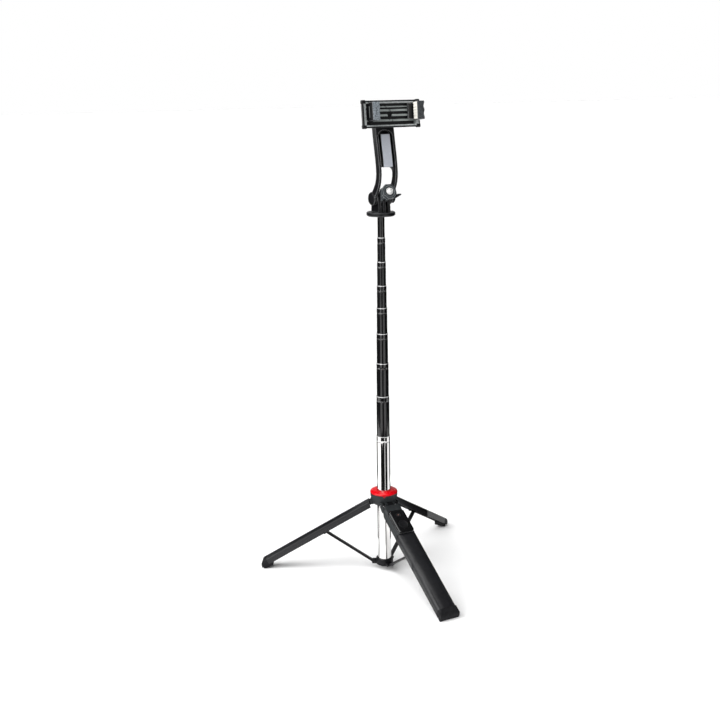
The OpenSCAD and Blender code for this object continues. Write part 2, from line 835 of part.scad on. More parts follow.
// The swivel's screw: its head sits in the arm's disc and its nut in the frame's tray.
module swivel_screw() {
    head_at = disc_from + disc_t - 1.8;
    color("silver") on_clamp() difference() {
        union() {
            translate([0, (head_at + 2) / 2, 0]) rod_y(bolt_r, head_at - 2);
            translate([0, head_at, 0]) rod_y(4.8, 2.8);
            translate([0, 3, 0]) rod_y(nut_r, 3);
        }
        translate([0, head_at + 1.4, 0]) hex_socket(2, 3);
    }
}

// Four rails on the tray's floor, with one curved slit across them.
module guide_rails() {
    slit_r = 24;
    color("#8f9396") on_clamp() difference() {
        for (row = rail_rows)
            clamp_box([-rail_end, rail_face, row[0] - row[1] / 2], [rail_end, tray_z, row[0] + row[1] / 2]);
        translate([-20, 0, -9]) difference() {
            rod_y(slit_r + 0.45, 20);
            rod_y(slit_r - 0.45, 21);
        }
        rod_y(nut_r + 0.15, 30);
    }
}

// A coil seen as a solid of revolution: turns side by side round a hollow core.
module coil(length, r, wire) {
    turns = floor(length / wire);
    rotate([0, 90, 0]) rotate_extrude() {
        translate([r - wire / 2, 0]) square([wire / 2, turns * wire]);
        for (i = [0 : turns - 1]) translate([r, (i + 0.5) * wire]) circle(r = wire / 2);
    }
}

module jaw_springs() {
    color("silver") on_clamp() for (z = [-9, 9]) translate([9, frame_back + 2, z]) coil(17, 1.5, 0.8);
}

// A jaw: an upright block with two thumb hollows on its outer side and a flat tongue that lies on the rails.
// s is the side, x the gripping face and back the depth at which the jaw ends. Its top steps down behind
// the rim.
module jaw(s, x, back) {
    out = x + s * jaw_t;
    difference() {
        union() {
            clamp_box([min(x, out), jaw_front, jaw_low], [max(x, out), back, jaw_high]);
            clamp_box([min(x, x - s * tongue), back - 2.8, jaw_low + 1.5],
                [max(x, x - s * tongue), back, jaw_high - 1.5]);
        }
        for (z = [-5.5, 5.5]) translate([out + s * 2.6, 0, (jaw_low + jaw_high) / 2 + z]) rod_y(5, 60);
        clamp_box([min(x, out) - 1, frame_front - 0.4, rim_inside - 0.4],
            [max(x, out) + 1, 10, jaw_high + 1]);
    }
}

module jaw_left() {
    color("#2a2b2d") on_clamp() jaw(-1, jaw_left_x, rail_face);
}

module jaw_right() {
    color("#2a2b2d") on_clamp() jaw(1, jaw_right_x, rail_face - 0.3);
}

// A rubber pad on a jaw's gripping face, with ribs across the grip.
module jaw_pad(s, x) {
    pad_back = frame_front - 0.5;
    clamp_box([min(x, x - s * pad_t), jaw_front + 0.6, jaw_low + 1],
        [max(x, x - s * pad_t), pad_back, jaw_high - 1]);
    for (i = [0 : 5]) translate([x - s * pad_t, (jaw_front + pad_back) / 2 + 0.3, jaw_low + 3.2 + i * 4])
        rod_y(0.7, pad_back - jaw_front - 2);
}

module jaw_pad_left() {
    color("#4a4c50") on_clamp() jaw_pad(-1, jaw_left_x);
}

module jaw_pad_right() {
    color("#4a4c50") on_clamp() jaw_pad(1, jaw_right_x);
}

// ---- Nodes ----

hub_body();
hub_collar();
hub_bush();
hub_pins();
lower_hub();
lower_hub_pins();
lower_hub_screw();
tube_plug();
handle_shell();
remote_cradle();
handle_cover();
handle_knuckle();
handle_foot();
brace_pin(-90, 2 * core_out);  // handle_brace_pin
leg_channel(150);  // leg_left_channel
leg_knuckle(150);  // leg_left_knuckle
plain_foot(150);  // leg_left_foot
brace_pin(150, leg_w);  // leg_left_brace_pin
leg_channel(30);  // leg_right_channel
leg_knuckle(30);  // leg_right_knuckle
plain_foot(30);  // leg_right_foot
brace_pin(30, leg_w);  // leg_right_brace_pin
brace(-90, 2 * core_in - 0.4);  // handle_brace
brace(150, leg_w - 2 * leg_wall - 0.4);  // leg_left_brace
brace(30, leg_w - 2 * leg_wall - 0.4);  // leg_right_brace
remote_top();
remote_base();
shutter_button();
mode_button();
status_lamp();
remote_board();
coin_cell();
battery_door();
base_tube();
section(1);  // section_1
section(2);  // section_2
section(3);  // section_3
section(4);  // section_4
section(5);  // section_5
section(6);  // section_6
section(7);  // section_7
section(8);  // section_8
head_base();
head_grub_screw();
camera_plate();
camera_screw();
tilt_bolt();
tilt_cap();
tilt_lever();
fork_arm();
arm_plate();
clamp_frame();
clamp_back();
swivel_screw();
guide_rails();
jaw_springs();
jaw_left();
jaw_right();
jaw_pad_left();
jaw_pad_right();
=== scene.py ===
# %% [markdown]
# # A selfie stick that stands on its own folding legs
#
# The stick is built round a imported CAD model, which already holds every piece at its real size and place.
# What is left for Blender is the look: the polished tube, the moulded plastics, the rubber, and those
# shapes that a plain solid model simplifies, such as a screw's thread or a spring's wire.
#
# A piece whose shape is right stays and gets a better finish. A piece that needs a finer shape is built
# again here, rides on the same body and stands for the CAD one.

# %% Load the stick's frame
import json
import math

import bmesh
import bpy
from mathutils import Matrix, Vector


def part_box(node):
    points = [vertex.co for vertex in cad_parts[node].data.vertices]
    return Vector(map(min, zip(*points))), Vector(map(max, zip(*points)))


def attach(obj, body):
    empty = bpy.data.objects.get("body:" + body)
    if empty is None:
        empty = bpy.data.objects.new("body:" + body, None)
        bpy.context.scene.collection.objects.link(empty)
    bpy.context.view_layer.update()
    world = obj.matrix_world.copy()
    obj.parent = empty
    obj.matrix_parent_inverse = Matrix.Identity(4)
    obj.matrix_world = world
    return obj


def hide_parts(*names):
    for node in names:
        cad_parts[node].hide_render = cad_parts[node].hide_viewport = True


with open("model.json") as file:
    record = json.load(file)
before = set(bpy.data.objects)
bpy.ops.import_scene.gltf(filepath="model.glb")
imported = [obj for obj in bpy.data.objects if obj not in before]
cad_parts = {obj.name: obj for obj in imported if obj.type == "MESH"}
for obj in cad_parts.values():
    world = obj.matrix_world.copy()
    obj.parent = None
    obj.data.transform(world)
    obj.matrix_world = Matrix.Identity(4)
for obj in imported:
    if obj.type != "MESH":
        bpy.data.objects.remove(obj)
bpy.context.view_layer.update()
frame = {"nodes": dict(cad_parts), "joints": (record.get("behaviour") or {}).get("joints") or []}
MM = 0.001

# %% [markdown]
# ## Where things are
#
# Three groups of pieces lie askew: the handle leg slopes down from its hinge, the phone clamp leans back
# on its swivel, and the camera plate is tilted up. Working out slanted points by hand is tiring and easy
# to get wrong. A matrix does it better: a piece is drawn straight, in its own simple frame, and then one
# matrix puts it in place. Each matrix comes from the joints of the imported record.

# %% Frames of the slanted pieces
joints = {joint["name"]: joint for joint in frame["joints"]}


def joint_point(name):
    """The point that a joint turns about, in metres."""
    return Vector(joints[name]["pos_m"])


def along_and_across(origin, along, across):
    """A frame whose X axis points along, whose Y axis points across, and whose Z axis follows from them."""
    x = along.normalized()
    y = across.normalized()
    return Matrix.Translation(origin) @ Matrix((x, y, x.cross(y))).transposed().to_4x4()


LEG_SET = math.radians(3.2)  # between a leg's channel and the line through its two hinges
hinge = joint_point("hub_turn")
hinge_line = joint_point("handle_leg_turn") - hinge
leg_slope = math.atan2(-hinge_line.z, -hinge_line.y) - LEG_SET
down_the_handle = Vector((0, -math.cos(leg_slope), -math.sin(leg_slope)))
on_handle = along_and_across(hinge, down_the_handle, Vector((1, 0, 0)))
clamp_back_axis = -Vector(joints["clamp_roll"]["axis"])
on_clamp = along_and_across(joint_point("clamp_roll"), Vector((1, 0, 0)), clamp_back_axis)
CAMERA_TILT = math.radians(24)
tilt_point = joint_point("camera_tilt")
on_camera_plate = Matrix.Translation(tilt_point) @ Matrix.Rotation(-CAMERA_TILT, 4, "X")
print("the legs slope at", round(math.degrees(leg_slope), 1), "degrees")

# %% [markdown]
# ## Camera
#
# The stick is tall and thin, and it is seen from its front left, from a little above. A lens of about
# 52 mm on a full-frame sensor keeps the near handle from looking swollen. The camera leans by a degree,
# the way a hand-set tripod does, so the pole isn't quite upright in the frame.

# %% Set up the camera
LENS = 52.29
ROLL = math.radians(-0.93)
camera = bpy.data.objects.new("camera", bpy.data.cameras.new("camera"))
bpy.context.scene.collection.objects.link(camera)
camera.data.lens = LENS
camera.location = (-0.7606, -1.4038, 0.7725)
aim = Vector((-0.0315, 0.0162, 0.3568))
look = (aim - camera.location).to_track_quat("-Z", "Y")
camera.rotation_euler = (look.to_matrix() @ Matrix.Rotation(ROLL, 3, "Z")).to_euler()
bpy.context.scene.camera = camera
print("camera is", round((aim - camera.location).length, 2), "m from the middle of the stick")

# %% [markdown]
# ## Studio
#
# A polished tube has no look of its own: it shows what stands round it. So the studio matters as much
# as the metal. The floor is pale, and dark flags stand round the pole. A flag is a plain black board that
# gives the chrome its dark bands and edges. The low ones serve the chrome, the high ones the black
# sections, and the near ones the foot of the tube, which mirrors only the floor close by. All are hidden
# from the camera and throw no shadow, so only what is polished knows about them.

# %% Set up the floor and the flags
def studio_piece(name, points, faces, paint):
    """A floor or a board of the studio. It isn't part of the stick."""
    mesh = bpy.data.meshes.new(name)
    mesh.from_pydata(points, [], faces)
    mesh.materials.append(paint)
    piece = bpy.data.objects.new(name, mesh)
    bpy.context.scene.collection.objects.link(piece)
    return piece


def plain_paint(name, colour, roughness):
    """An even matt paint for the studio's floor and boards."""
    paint = bpy.data.materials.new(name)
    paint.use_nodes = True
    shader = paint.node_tree.nodes["Principled BSDF"]
    shader.inputs["Base Color"].default_value = (*colour, 1)
    shader.inputs["Roughness"].default_value = roughness
    shader.inputs["Specular IOR Level"].default_value = 0.2
    return paint


def dark_flag(name, turn_from, turn_to, away, low, high):
    """A black wall on an arc round the pole. Only reflections see it."""
    steps = 16
    points = []
    for step in range(steps + 1):
        turn = math.radians(turn_from + (turn_to - turn_from) * step / steps)
        points += [(away * math.cos(turn), away * math.sin(turn), z) for z in (low, high)]
    faces = [(2 * i, 2 * i + 2, 2 * i + 3, 2 * i + 1) for i in range(steps)]
    flag = studio_piece(name, points, faces, flag_paint)
    flag.visible_camera = False
    flag.visible_diffuse = False
    flag.visible_shadow = False


FLOOR_HALF = 40
corners = [(x * FLOOR_HALF, y * FLOOR_HALF, 0) for x, y in ((-1, -1), (1, -1), (1, 1), (-1, 1))]
studio_piece("floor", corners, [(0, 1, 2, 3)], plain_paint("pale_floor", (0.94, 0.94, 0.94), 0.8))
flag_paint = plain_paint("black_flag", (0.004, 0.004, 0.004), 0.9)
FLAGS = {
    "low_front_left": (-163, -99, 0.42, 0, 0.17),
    "low_front_right": (-92, -52, 0.42, 0, 0.17),
    "low_back_left": (84, 132, 0.5, 0, 0.17),
    "low_back_right": (-10, 38, 0.5, 0, 0.17),
    "near_back_left": (84, 128, 0.13, 0, 0.11),
    "near_back_right": (-6, 38, 0.13, 0, 0.11),
    "near_front": (-99, -94, 0.12, 0, 0.1),
    "high_left": (84, 197, 0.42, 0.17, 0.66),
    "high_front": (-128, -100, 0.42, 0.17, 0.66),
    "high_right": (-60, 38, 0.42, 0.17, 0.66),
}
for name, arc in FLAGS.items():
    dark_flag(f"flag_{name}", *arc)
print("studio: a floor and", len(FLAGS), "flags")

# %% [markdown]
# ## Light
#
# Small black plastic pieces need soft light from above and a bright panel at one side, which draws a line
# along every rounded edge. The room glows at the horizon and is dim overhead: an even room would be
# mirrored by every upward face and turn black plastic grey. The camera sees plain white behind the stick.

# %% Light the studio
ROOM_GLOW = 0.75
CEILING = 0.12
CEILING_FROM = 0.6
OVERHEAD_FROM = Vector((-0.55, -0.2, 0.82))
OVERHEAD_STRENGTH = 3.7
OVERHEAD_SPREAD = math.radians(80)
SIDE_AT = Vector((-1.5, 0.35, 1.25))
SIDE_AIM = Vector((0, 0, 0.4))
SIDE_SIZE = (0.9, 1.5)
SIDE_POWER = 20
world = bpy.data.worlds.new("pale_room")
bpy.context.scene.world = world
world.use_nodes = True
world_nodes = world.node_tree.nodes
world_links = world.node_tree.links
glow = world_nodes["Background"]
glow.inputs["Strength"].default_value = ROOM_GLOW
way = world_nodes.new("ShaderNodeTexCoord")
split = world_nodes.new("ShaderNodeSeparateXYZ")
fade = world_nodes.new("ShaderNodeValToRGB")
fade.color_ramp.elements[0].color = (1, 1, 1, 1)
fade.color_ramp.elements[1].position = CEILING_FROM
fade.color_ramp.elements[1].color = (CEILING, CEILING, CEILING, 1)
world_links.new(way.outputs["Generated"], split.inputs["Vector"])
world_links.new(split.outputs["Z"], fade.inputs["Fac"])
world_links.new(fade.outputs["Color"], glow.inputs["Color"])
backdrop = world_nodes.new("ShaderNodeBackground")
backdrop.inputs["Color"].default_value = (1, 1, 1, 1)
seen = world_nodes.new("ShaderNodeLightPath")
either = world_nodes.new("ShaderNodeMixShader")
world_links.new(seen.outputs["Is Camera Ray"], either.inputs[0])
world_links.new(glow.outputs[0], either.inputs[1])
world_links.new(backdrop.outputs[0], either.inputs[2])
world_links.new(either.outputs[0], world_nodes["World Output"].inputs["Surface"])

overhead = bpy.data.lights.new("overhead_softbox", "SUN")
overhead.energy = OVERHEAD_STRENGTH
overhead.angle = OVERHEAD_SPREAD
overhead_lamp = bpy.data.objects.new("overhead_softbox", overhead)
bpy.context.scene.collection.objects.link(overhead_lamp)
overhead_lamp.rotation_euler = OVERHEAD_FROM.to_track_quat("Z", "Y").to_euler()

side = bpy.data.lights.new("side_softbox", "AREA")
side.shape = "RECTANGLE"
side.size, side.size_y = SIDE_SIZE
side.energy = SIDE_POWER
side_lamp = bpy.data.objects.new("side_softbox", side)
bpy.context.scene.collection.objects.link(side_lamp)
side_lamp.location = SIDE_AT
side_lamp.rotation_euler = (SIDE_AT - SIDE_AIM).to_track_quat("Z", "Y").to_euler()
bpy.context.scene.view_settings.view_transform = "Standard"
print("lights: one overhead and one at the side")

# %% [markdown]
# ## Finishes: how they are built
#
# No moulded or painted surface is one flat colour. Light catches a fine grain, the gloss is uneven where
# hands rub, and sharp edges are mixed paler; on the arm, the head base and the camera plate that paler rim
# is a painted highlight. Scanned textures could supply this, but procedural noise has no seams, needs no
# unwrapping and stays sharp at any distance. Each finish below starts from the same shader and adds two or
# three of these helpers:
#
# - `speckle` is noise in real millimetres, and may be stretched along one direction;
# - `shade_by` and `gloss_by` let that noise vary the colour and the roughness;
# - `raise_by` turns it into a fine relief;
# - `pale_sharp_edges` finds the sharp edges by comparing the true normal with a rounded one.

# %% Helpers for finishes
def start_finish(name, colour, metallic=0.0, coat=0.0, coat_roughness=0.05, specular=0.5):
    """A new material, with the values that are the same all over set on the shader itself."""
    finish = bpy.data.materials.new(name)
    finish.use_nodes = True
    shader = finish.node_tree.nodes["Principled BSDF"]
    shader.inputs["Base Color"].default_value = (*colour, 1)
    shader.inputs["Metallic"].default_value = metallic
    shader.inputs["Coat Weight"].default_value = coat
    shader.inputs["Coat Roughness"].default_value = coat_roughness
    shader.inputs["Specular IOR Level"].default_value = specular
    return finish


def add_node(finish, kind, **settings):
    """Adds a shader node, with its settings as keywords."""
    node = finish.node_tree.nodes.new(kind)
    for key, value in settings.items():
        setattr(node, key, value)
    return node


def speckle(finish, size_mm, detail=3.0, stretch=(1, 1, 1), turn=(0, 0, 0)):
    """Noise whose lumps are about size_mm across. Returns the socket that holds it."""
    place = add_node(finish, "ShaderNodeTexCoord")
    mapping = add_node(finish, "ShaderNodeMapping", vector_type="TEXTURE")
    mapping.inputs["Rotation"].default_value = turn
    mapping.inputs["Scale"].default_value = [s * size_mm * MM for s in stretch]
    noise = add_node(finish, "ShaderNodeTexNoise")
    noise.inputs["Scale"].default_value = 1.0
    noise.inputs["Detail"].default_value = detail
    finish.node_tree.links.new(place.outputs["Object"], mapping.inputs["Vector"])
    finish.node_tree.links.new(mapping.outputs["Vector"], noise.inputs["Vector"])
    return noise.outputs["Fac"]


def shade_by(finish, socket, low, high, dark, light):
    """Colours the surface from dark to light as the socket goes from low to high."""
    ramp = add_node(finish, "ShaderNodeValToRGB")
    ramp.color_ramp.elements[0].position = low
    ramp.color_ramp.elements[1].position = high
    ramp.color_ramp.elements[0].color = (*dark, 1)
    ramp.color_ramp.elements[1].color = (*light, 1)
    finish.node_tree.links.new(socket, ramp.inputs["Fac"])
    shader = finish.node_tree.nodes["Principled BSDF"]
    finish.node_tree.links.new(ramp.outputs["Color"], shader.inputs["Base Color"])


def gloss_by(finish, socket, smooth, rough):
    """Lets the roughness wander between two values as the socket goes from 0.3 to 0.7."""
    span = add_node(finish, "ShaderNodeMapRange")
    span.inputs["From Min"].default_value = 0.3
    span.inputs["From Max"].default_value = 0.7
    span.inputs["To Min"].default_value = smooth
    span.inputs["To Max"].default_value = rough
    finish.node_tree.links.new(socket, span.inputs["Value"])
    shader = finish.node_tree.nodes["Principled BSDF"]
    finish.node_tree.links.new(span.outputs["Result"], shader.inputs["Roughness"])


def raise_by(finish, socket, height_mm, strength=1.0):
    """Turns the socket into a relief of that height."""
    bump = add_node(finish, "ShaderNodeBump")
    bump.inputs["Distance"].default_value = height_mm * MM
    bump.inputs["Strength"].default_value = strength
    finish.node_tree.links.new(socket, bump.inputs["Height"])
    shader = finish.node_tree.nodes["Principled BSDF"]
    finish.node_tree.links.new(bump.outputs["Normal"], shader.inputs["Normal"])
    finish.node_tree.links.new(bump.outputs["Normal"], shader.inputs["Coat Normal"])


def pale_sharp_edges(finish, socket, reach_mm, colour, pale_colour):
    """Mixes a paler colour in along sharp edges, broken up by the socket's noise. On the arm, head base and
    camera plate this paler rim is a painted highlight.
    """
    rounded = add_node(finish, "ShaderNodeBevel", samples=4)
    rounded.inputs["Radius"].default_value = reach_mm * MM
    true_normal = add_node(finish, "ShaderNodeNewGeometry")
    agree = add_node(finish, "ShaderNodeVectorMath", operation="DOT_PRODUCT")
    edge = add_node(finish, "ShaderNodeMapRange")
    edge.inputs["From Min"].default_value = 0.97
    edge.inputs["From Max"].default_value = 0.86
    broken = add_node(finish, "ShaderNodeMath", operation="MULTIPLY")
    mix = add_node(finish, "ShaderNodeMix", data_type="RGBA")
    mix.inputs["A"].default_value = (*colour, 1)
    mix.inputs["B"].default_value = (*pale_colour, 1)
    links = finish.node_tree.links
    links.new(rounded.outputs["Normal"], agree.inputs[0])
    links.new(true_normal.outputs["Normal"], agree.inputs[1])
    links.new(agree.outputs["Value"], edge.inputs["Value"])
    links.new(edge.outputs["Result"], broken.inputs[0])
    links.new(socket, broken.inputs[1])
    links.new(broken.outputs["Value"], mix.inputs["Factor"])
    links.new(mix.outputs["Result"], finish.node_tree.nodes["Principled BSDF"].inputs["Base Color"])


print("finish helpers ready")

# %% [markdown]
# ## Metals: chrome, lacquered steel, pins and the pale strip
#
# Chrome is a mirror, so its colour hardly matters and its roughness matters a great deal. Drawn tube is
# never a perfect mirror: the draw leaves faint lines along its length, so its noise is stretched forty
# times along Z. The black sections are steel under gloss lacquer. That is a dark base with a coat, since
# lacquer reflects like clear plastic whatever is under it.

# %% Chrome, lacquer and steel
def chrome_plate():
    finish = start_finish("chrome_plate", (0.83, 0.82, 0.81), metallic=1.0)
    gloss_by(finish, speckle(finish, 0.7, stretch=(1, 1, 40)), 0.035, 0.11)
    raise_by(finish, speckle(finish, 2.5, detail=1.0, stretch=(1, 1, 60)), 0.012, 0.6)
    return finish


def gloss_lacquer():
    finish = start_finish("gloss_black_lacquer", (0.003, 0.003, 0.0035), coat=0.6)
    gloss_by(finish, speckle(finish, 1.2, stretch=(1, 1, 25)), 0.12, 0.22)
    raise_by(finish, speckle(finish, 1.6, detail=2.0, stretch=(1, 1, 12)), 0.01, 0.5)
    return finish


def bare_ring():
    finish = start_finish("bare_rolled_steel", (0.8, 0.8, 0.8), metallic=0.7)
    gloss_by(finish, speckle(finish, 0.5, stretch=(3, 3, 0.3)), 0.18, 0.36)
    raise_by(finish, speckle(finish, 0.4, stretch=(4, 4, 0.4)), 0.01, 0.6)
    return finish


def zinc_steel():
    finish = start_finish("zinc_plated_steel", (0.6, 0.6, 0.6), metallic=1.0)
    tone = speckle(finish, 1.5, detail=4.0)
    shade_by(finish, tone, 0.35, 0.7, (0.42, 0.42, 0.43), (0.74, 0.74, 0.72))
    gloss_by(finish, speckle(finish, 0.4), 0.2, 0.42)
    raise_by(finish, speckle(finish, 0.3), 0.01, 0.5)
    return finish


# The screw's steel has a near-white colour and little metal, so it looks bright whatever it mirrors: a
# painted highlight.
def screw_painted_highlight():
    finish = start_finish("screw_steel_painted_highlight", (0.9, 0.9, 0.9), metallic=0.35)
    shade_by(finish, speckle(finish, 1.5), 0.3, 0.7, (0.78, 0.78, 0.77), (0.95, 0.95, 0.94))
    gloss_by(finish, speckle(finish, 0.4), 0.2, 0.35)
    raise_by(finish, speckle(finish, 0.3), 0.008, 0.5)
    return finish


def pale_strip():
    finish = start_finish("satin_pale_strip", (0.6, 0.64, 0.7), metallic=0.55)
    grain = speckle(finish, 0.35, stretch=(1, 1, 30))
    shade_by(finish, grain, 0.3, 0.7, (0.5, 0.53, 0.6), (0.66, 0.69, 0.75))
    gloss_by(finish, grain, 0.38, 0.55)
    raise_by(finish, grain, 0.008, 0.5)
    return finish


print("metals: chrome_plate, gloss_lacquer, bare_ring, zinc_steel, screw_painted_highlight, pale_strip")

# %% [markdown]
# ## Plastics and rubber
#
# A mould's steel is spark-eroded or polished, and the plastic copies it. The grip and legs have a soft
# satin grain, the hub is coarser and greyer, the remote is piano black, and the collar is bright red with
# a thin clear skin. Rubber scatters light widely, so it gets high roughness and a dusty lift in colour.
# The frame of the phone clamp is painted, and its sharp edges are mixed paler; on the arm, head base and
# camera plate the same paler rim is a painted highlight. That is where the sharp-edge helper earns its
# cost.

# %% Plastics and rubber
def hub_nylon():
    finish = start_finish("slate_hub_nylon", (0.014, 0.016, 0.018), specular=0.3)
    shade_by(finish, speckle(finish, 6, detail=5.0), 0.3, 0.72, (0.01, 0.012, 0.013), (0.02, 0.023, 0.025))
    gloss_by(finish, speckle(finish, 1.5), 0.42, 0.58)
    raise_by(finish, speckle(finish, 0.28, detail=2.0), 0.03, 0.5)
    return finish


def red_skin(name, depth):
    finish = start_finish(name, (depth, 0.0, 0.006), coat=0.25, coat_roughness=0.08, specular=0.25)
    shade_by(finish, speckle(finish, 9), 0.3, 0.7, (depth * 0.9, 0.0, 0.003), (depth * 1.1, 0.0, 0.006))
    gloss_by(finish, speckle(finish, 3), 0.2, 0.3)
    raise_by(finish, speckle(finish, 1.4, detail=1.0), 0.008, 0.5)
    return finish


def satin_black(name, turn=(0, 0, 0), stretch=(1, 1, 1)):
    """Satin black moulding. The grain may be drawn out along a leg."""
    finish = start_finish(name, (0.007, 0.007, 0.008), specular=0.42)
    tone = speckle(finish, 5, 4.0, stretch, turn)
    shade_by(finish, tone, 0.3, 0.72, (0.005, 0.005, 0.006), (0.011, 0.011, 0.013))
    gloss_by(finish, speckle(finish, 2, 3.0, stretch, turn), 0.32, 0.44)
    raise_by(finish, speckle(finish, 0.3, 2.0, stretch, turn), 0.018, 0.5)
    return finish


def black_moulding():
    finish = start_finish("black_moulding", (0.004, 0.004, 0.005), specular=0.2)
    shade_by(finish, speckle(finish, 4, detail=4.0), 0.3, 0.7, (0.002, 0.002, 0.003), (0.006, 0.006, 0.007))
    gloss_by(finish, speckle(finish, 1.8), 0.32, 0.5)
    raise_by(finish, speckle(finish, 0.3, detail=2.0), 0.02, 0.5)
    return finish


def foot_rubber():
    finish = start_finish("foot_rubber", (0.006, 0.006, 0.007), specular=0.2)
    shade_by(finish, speckle(finish, 5, detail=6.0), 0.32, 0.7, (0.004, 0.004, 0.005), (0.009, 0.009, 0.01))
    gloss_by(finish, speckle(finish, 1.2), 0.55, 0.75)
    raise_by(finish, speckle(finish, 0.45, detail=3.0), 0.05, 0.6)
    return finish


def piano_black():
    colour = (0.002, 0.002, 0.0025)
    finish = start_finish("piano_black_case", colour, coat=0.5, coat_roughness=0.04, specular=0.4)
    gloss_by(finish, speckle(finish, 4, detail=6.0), 0.14, 0.26)
    raise_by(finish, speckle(finish, 2.2, detail=1.0), 0.006, 0.4)
    return finish


def soft_touch():
    finish = start_finish("soft_touch_button", (0.006, 0.006, 0.007), specular=0.25)
    shade_by(finish, speckle(finish, 3, detail=4.0), 0.3, 0.7, (0.004, 0.004, 0.005), (0.008, 0.008, 0.009))
    gloss_by(finish, speckle(finish, 0.8), 0.3, 0.42)
    raise_by(finish, speckle(finish, 0.2), 0.012, 0.5)
    return finish


def clear_lamp():
    finish = start_finish("smoked_lamp_window", (0.2, 0.12, 0.1), coat=0.3)
    shade_by(finish, speckle(finish, 0.6), 0.3, 0.7, (0.1, 0.05, 0.045), (0.28, 0.16, 0.14))
    gloss_by(finish, speckle(finish, 0.4), 0.12, 0.25)
    return finish


def solder_mask():
    finish = start_finish("green_solder_mask", (0.02, 0.16, 0.06), coat=0.4, coat_roughness=0.2)
    shade_by(finish, speckle(finish, 1.2, detail=1.0), 0.48, 0.52, (0.012, 0.1, 0.04), (0.03, 0.2, 0.08))
    gloss_by(finish, speckle(finish, 0.8), 0.3, 0.45)
    return finish


def friction_bush():
    finish = start_finish("black_acetal_bush", (0.03, 0.03, 0.03), specular=0.45)
    shade_by(finish, speckle(finish, 3), 0.3, 0.7, (0.022, 0.022, 0.023), (0.04, 0.04, 0.041))
    gloss_by(finish, speckle(finish, 0.7), 0.34, 0.5)
    return finish


def clamp_paint():
    finish = start_finish("pale_rimmed_clamp_paint", (0.006, 0.006, 0.007), specular=0.25)
    noise = speckle(finish, 2.2, detail=6.0)
    # Its sharp edges are mixed paler.
    pale_sharp_edges(finish, noise, 0.5, (0.003, 0.003, 0.004), (0.05, 0.053, 0.056))
    gloss_by(finish, speckle(finish, 1.5, detail=4.0), 0.32, 0.5)
    raise_by(finish, speckle(finish, 0.35, detail=2.0), 0.03, 0.5)
    return finish


def pale_edged(name, colour, rim_highlight_colour, reach_mm):
    """A black moulding with a painted highlight: a paler colour mixed in along its sharp rims."""
    finish = start_finish(name, colour, specular=0.35)
    pale_sharp_edges(finish, speckle(finish, 3, detail=4.0, stretch=(1, 1, 6)), reach_mm, colour, rim_highlight_colour)
    gloss_by(finish, speckle(finish, 1.8), 0.28, 0.42)
    raise_by(finish, speckle(finish, 0.3, detail=2.0), 0.018, 0.5)
    return finish


def rail_moulding():
    finish = start_finish("grey_rail_moulding", (0.16, 0.175, 0.17), specular=0.5)
    shade_by(finish, speckle(finish, 7, 5.0, (4, 1, 1)), 0.3, 0.7, (0.16, 0.18, 0.175), (0.33, 0.36, 0.35))
    gloss_by(finish, speckle(finish, 1.5), 0.32, 0.48)
    raise_by(finish, speckle(finish, 0.35, detail=2.0), 0.02, 0.5)
    return finish


def rim_chamfer():
    finish = start_finish("pale_rim_chamfer", (0.3, 0.32, 0.32), specular=0.5)
    shade_by(finish, speckle(finish, 2.5, 6.0), 0.32, 0.68, (0.19, 0.21, 0.21), (0.42, 0.44, 0.44))
    gloss_by(finish, speckle(finish, 0.9), 0.3, 0.5)
    raise_by(finish, speckle(finish, 0.3, detail=3.0), 0.03, 0.6)
    return finish


def jaw_moulding(name, dark, light):
    finish = start_finish(name, dark, specular=0.35)
    shade_by(finish, speckle(finish, 1.6, 6.0), 0.36, 0.55, dark, light)
    gloss_by(finish, speckle(finish, 0.8), 0.3, 0.5)
    raise_by(finish, speckle(finish, 0.5, detail=3.0), 0.06, 0.7)
    return finish


def cream_rubber():
    finish = start_finish("cream_pad_rubber", (0.62, 0.6, 0.53), specular=0.35)
    shade_by(finish, speckle(finish, 3, 5.0), 0.3, 0.7, (0.66, 0.64, 0.58), (0.86, 0.84, 0.78))
    gloss_by(finish, speckle(finish, 0.8), 0.5, 0.7)
    raise_by(finish, speckle(finish, 0.35, detail=3.0), 0.04, 0.6)
    return finish


finishes = {
    "hub_plastic": hub_nylon(),
    "red_gloss": red_skin("gloss_red_collar", 0.56),
    "bush_plastic": friction_bush(),
    "steel": zinc_steel(),
    "black_plastic": black_moulding(),
    "leg_black": satin_black("satin_black_leg"),
    "foot_rubber": foot_rubber(),
    "remote_gloss": piano_black(),
    "button_black": soft_touch(),
    "lamp": clear_lamp(),
    "board_green": solder_mask(),
    "chrome_tube": chrome_plate(),
    "black_tube": gloss_lacquer(),
    # The arm's paler rim colour is a painted highlight along its edges.
    "arm_black": pale_edged("arm_painted_rim_highlight", (0.003, 0.003, 0.004), (0.45, 0.46, 0.47), 1.7),
    "trim_metal": pale_strip(),
    "frame_black": clamp_paint(),
    "rail_grey": rail_moulding(),
    "pad_rubber": cream_rubber(),
}
print(len(finishes), "finishes, one for each slot of the record")

# %% [markdown]
# ## Shapes: how they are built
#
# Most of the stick's pieces are one of three things. A turned piece, such as a tube or a collar, is an
# outline spun round the pole. A moulded bar, such as the grip, is a row of cross-sections joined into a
# skin. A wire is a small circle that travels along a path. Modifiers could do all three, but building the
# points in code gives exact sizes and lets an outline be rounded before it is used: a real edge is never
# perfectly sharp, and it is the small round on it that catches the light.

# %% Helpers for shapes
def close_up(mesh_data, name, crease=32):
    """Turns a bmesh into a smooth mesh that keeps the edges sharper than crease degrees."""
    bmesh.ops.remove_doubles(mesh_data, verts=mesh_data.verts, dist=0.0005 * MM)
    bmesh.ops.recalc_face_normals(mesh_data, faces=mesh_data.faces)
    mesh = bpy.data.meshes.new(name)
    mesh_data.to_mesh(mesh)
    mesh_data.free()
    mesh.shade_smooth()
    mesh.set_sharp_from_angle(angle=math.radians(crease))
    return mesh


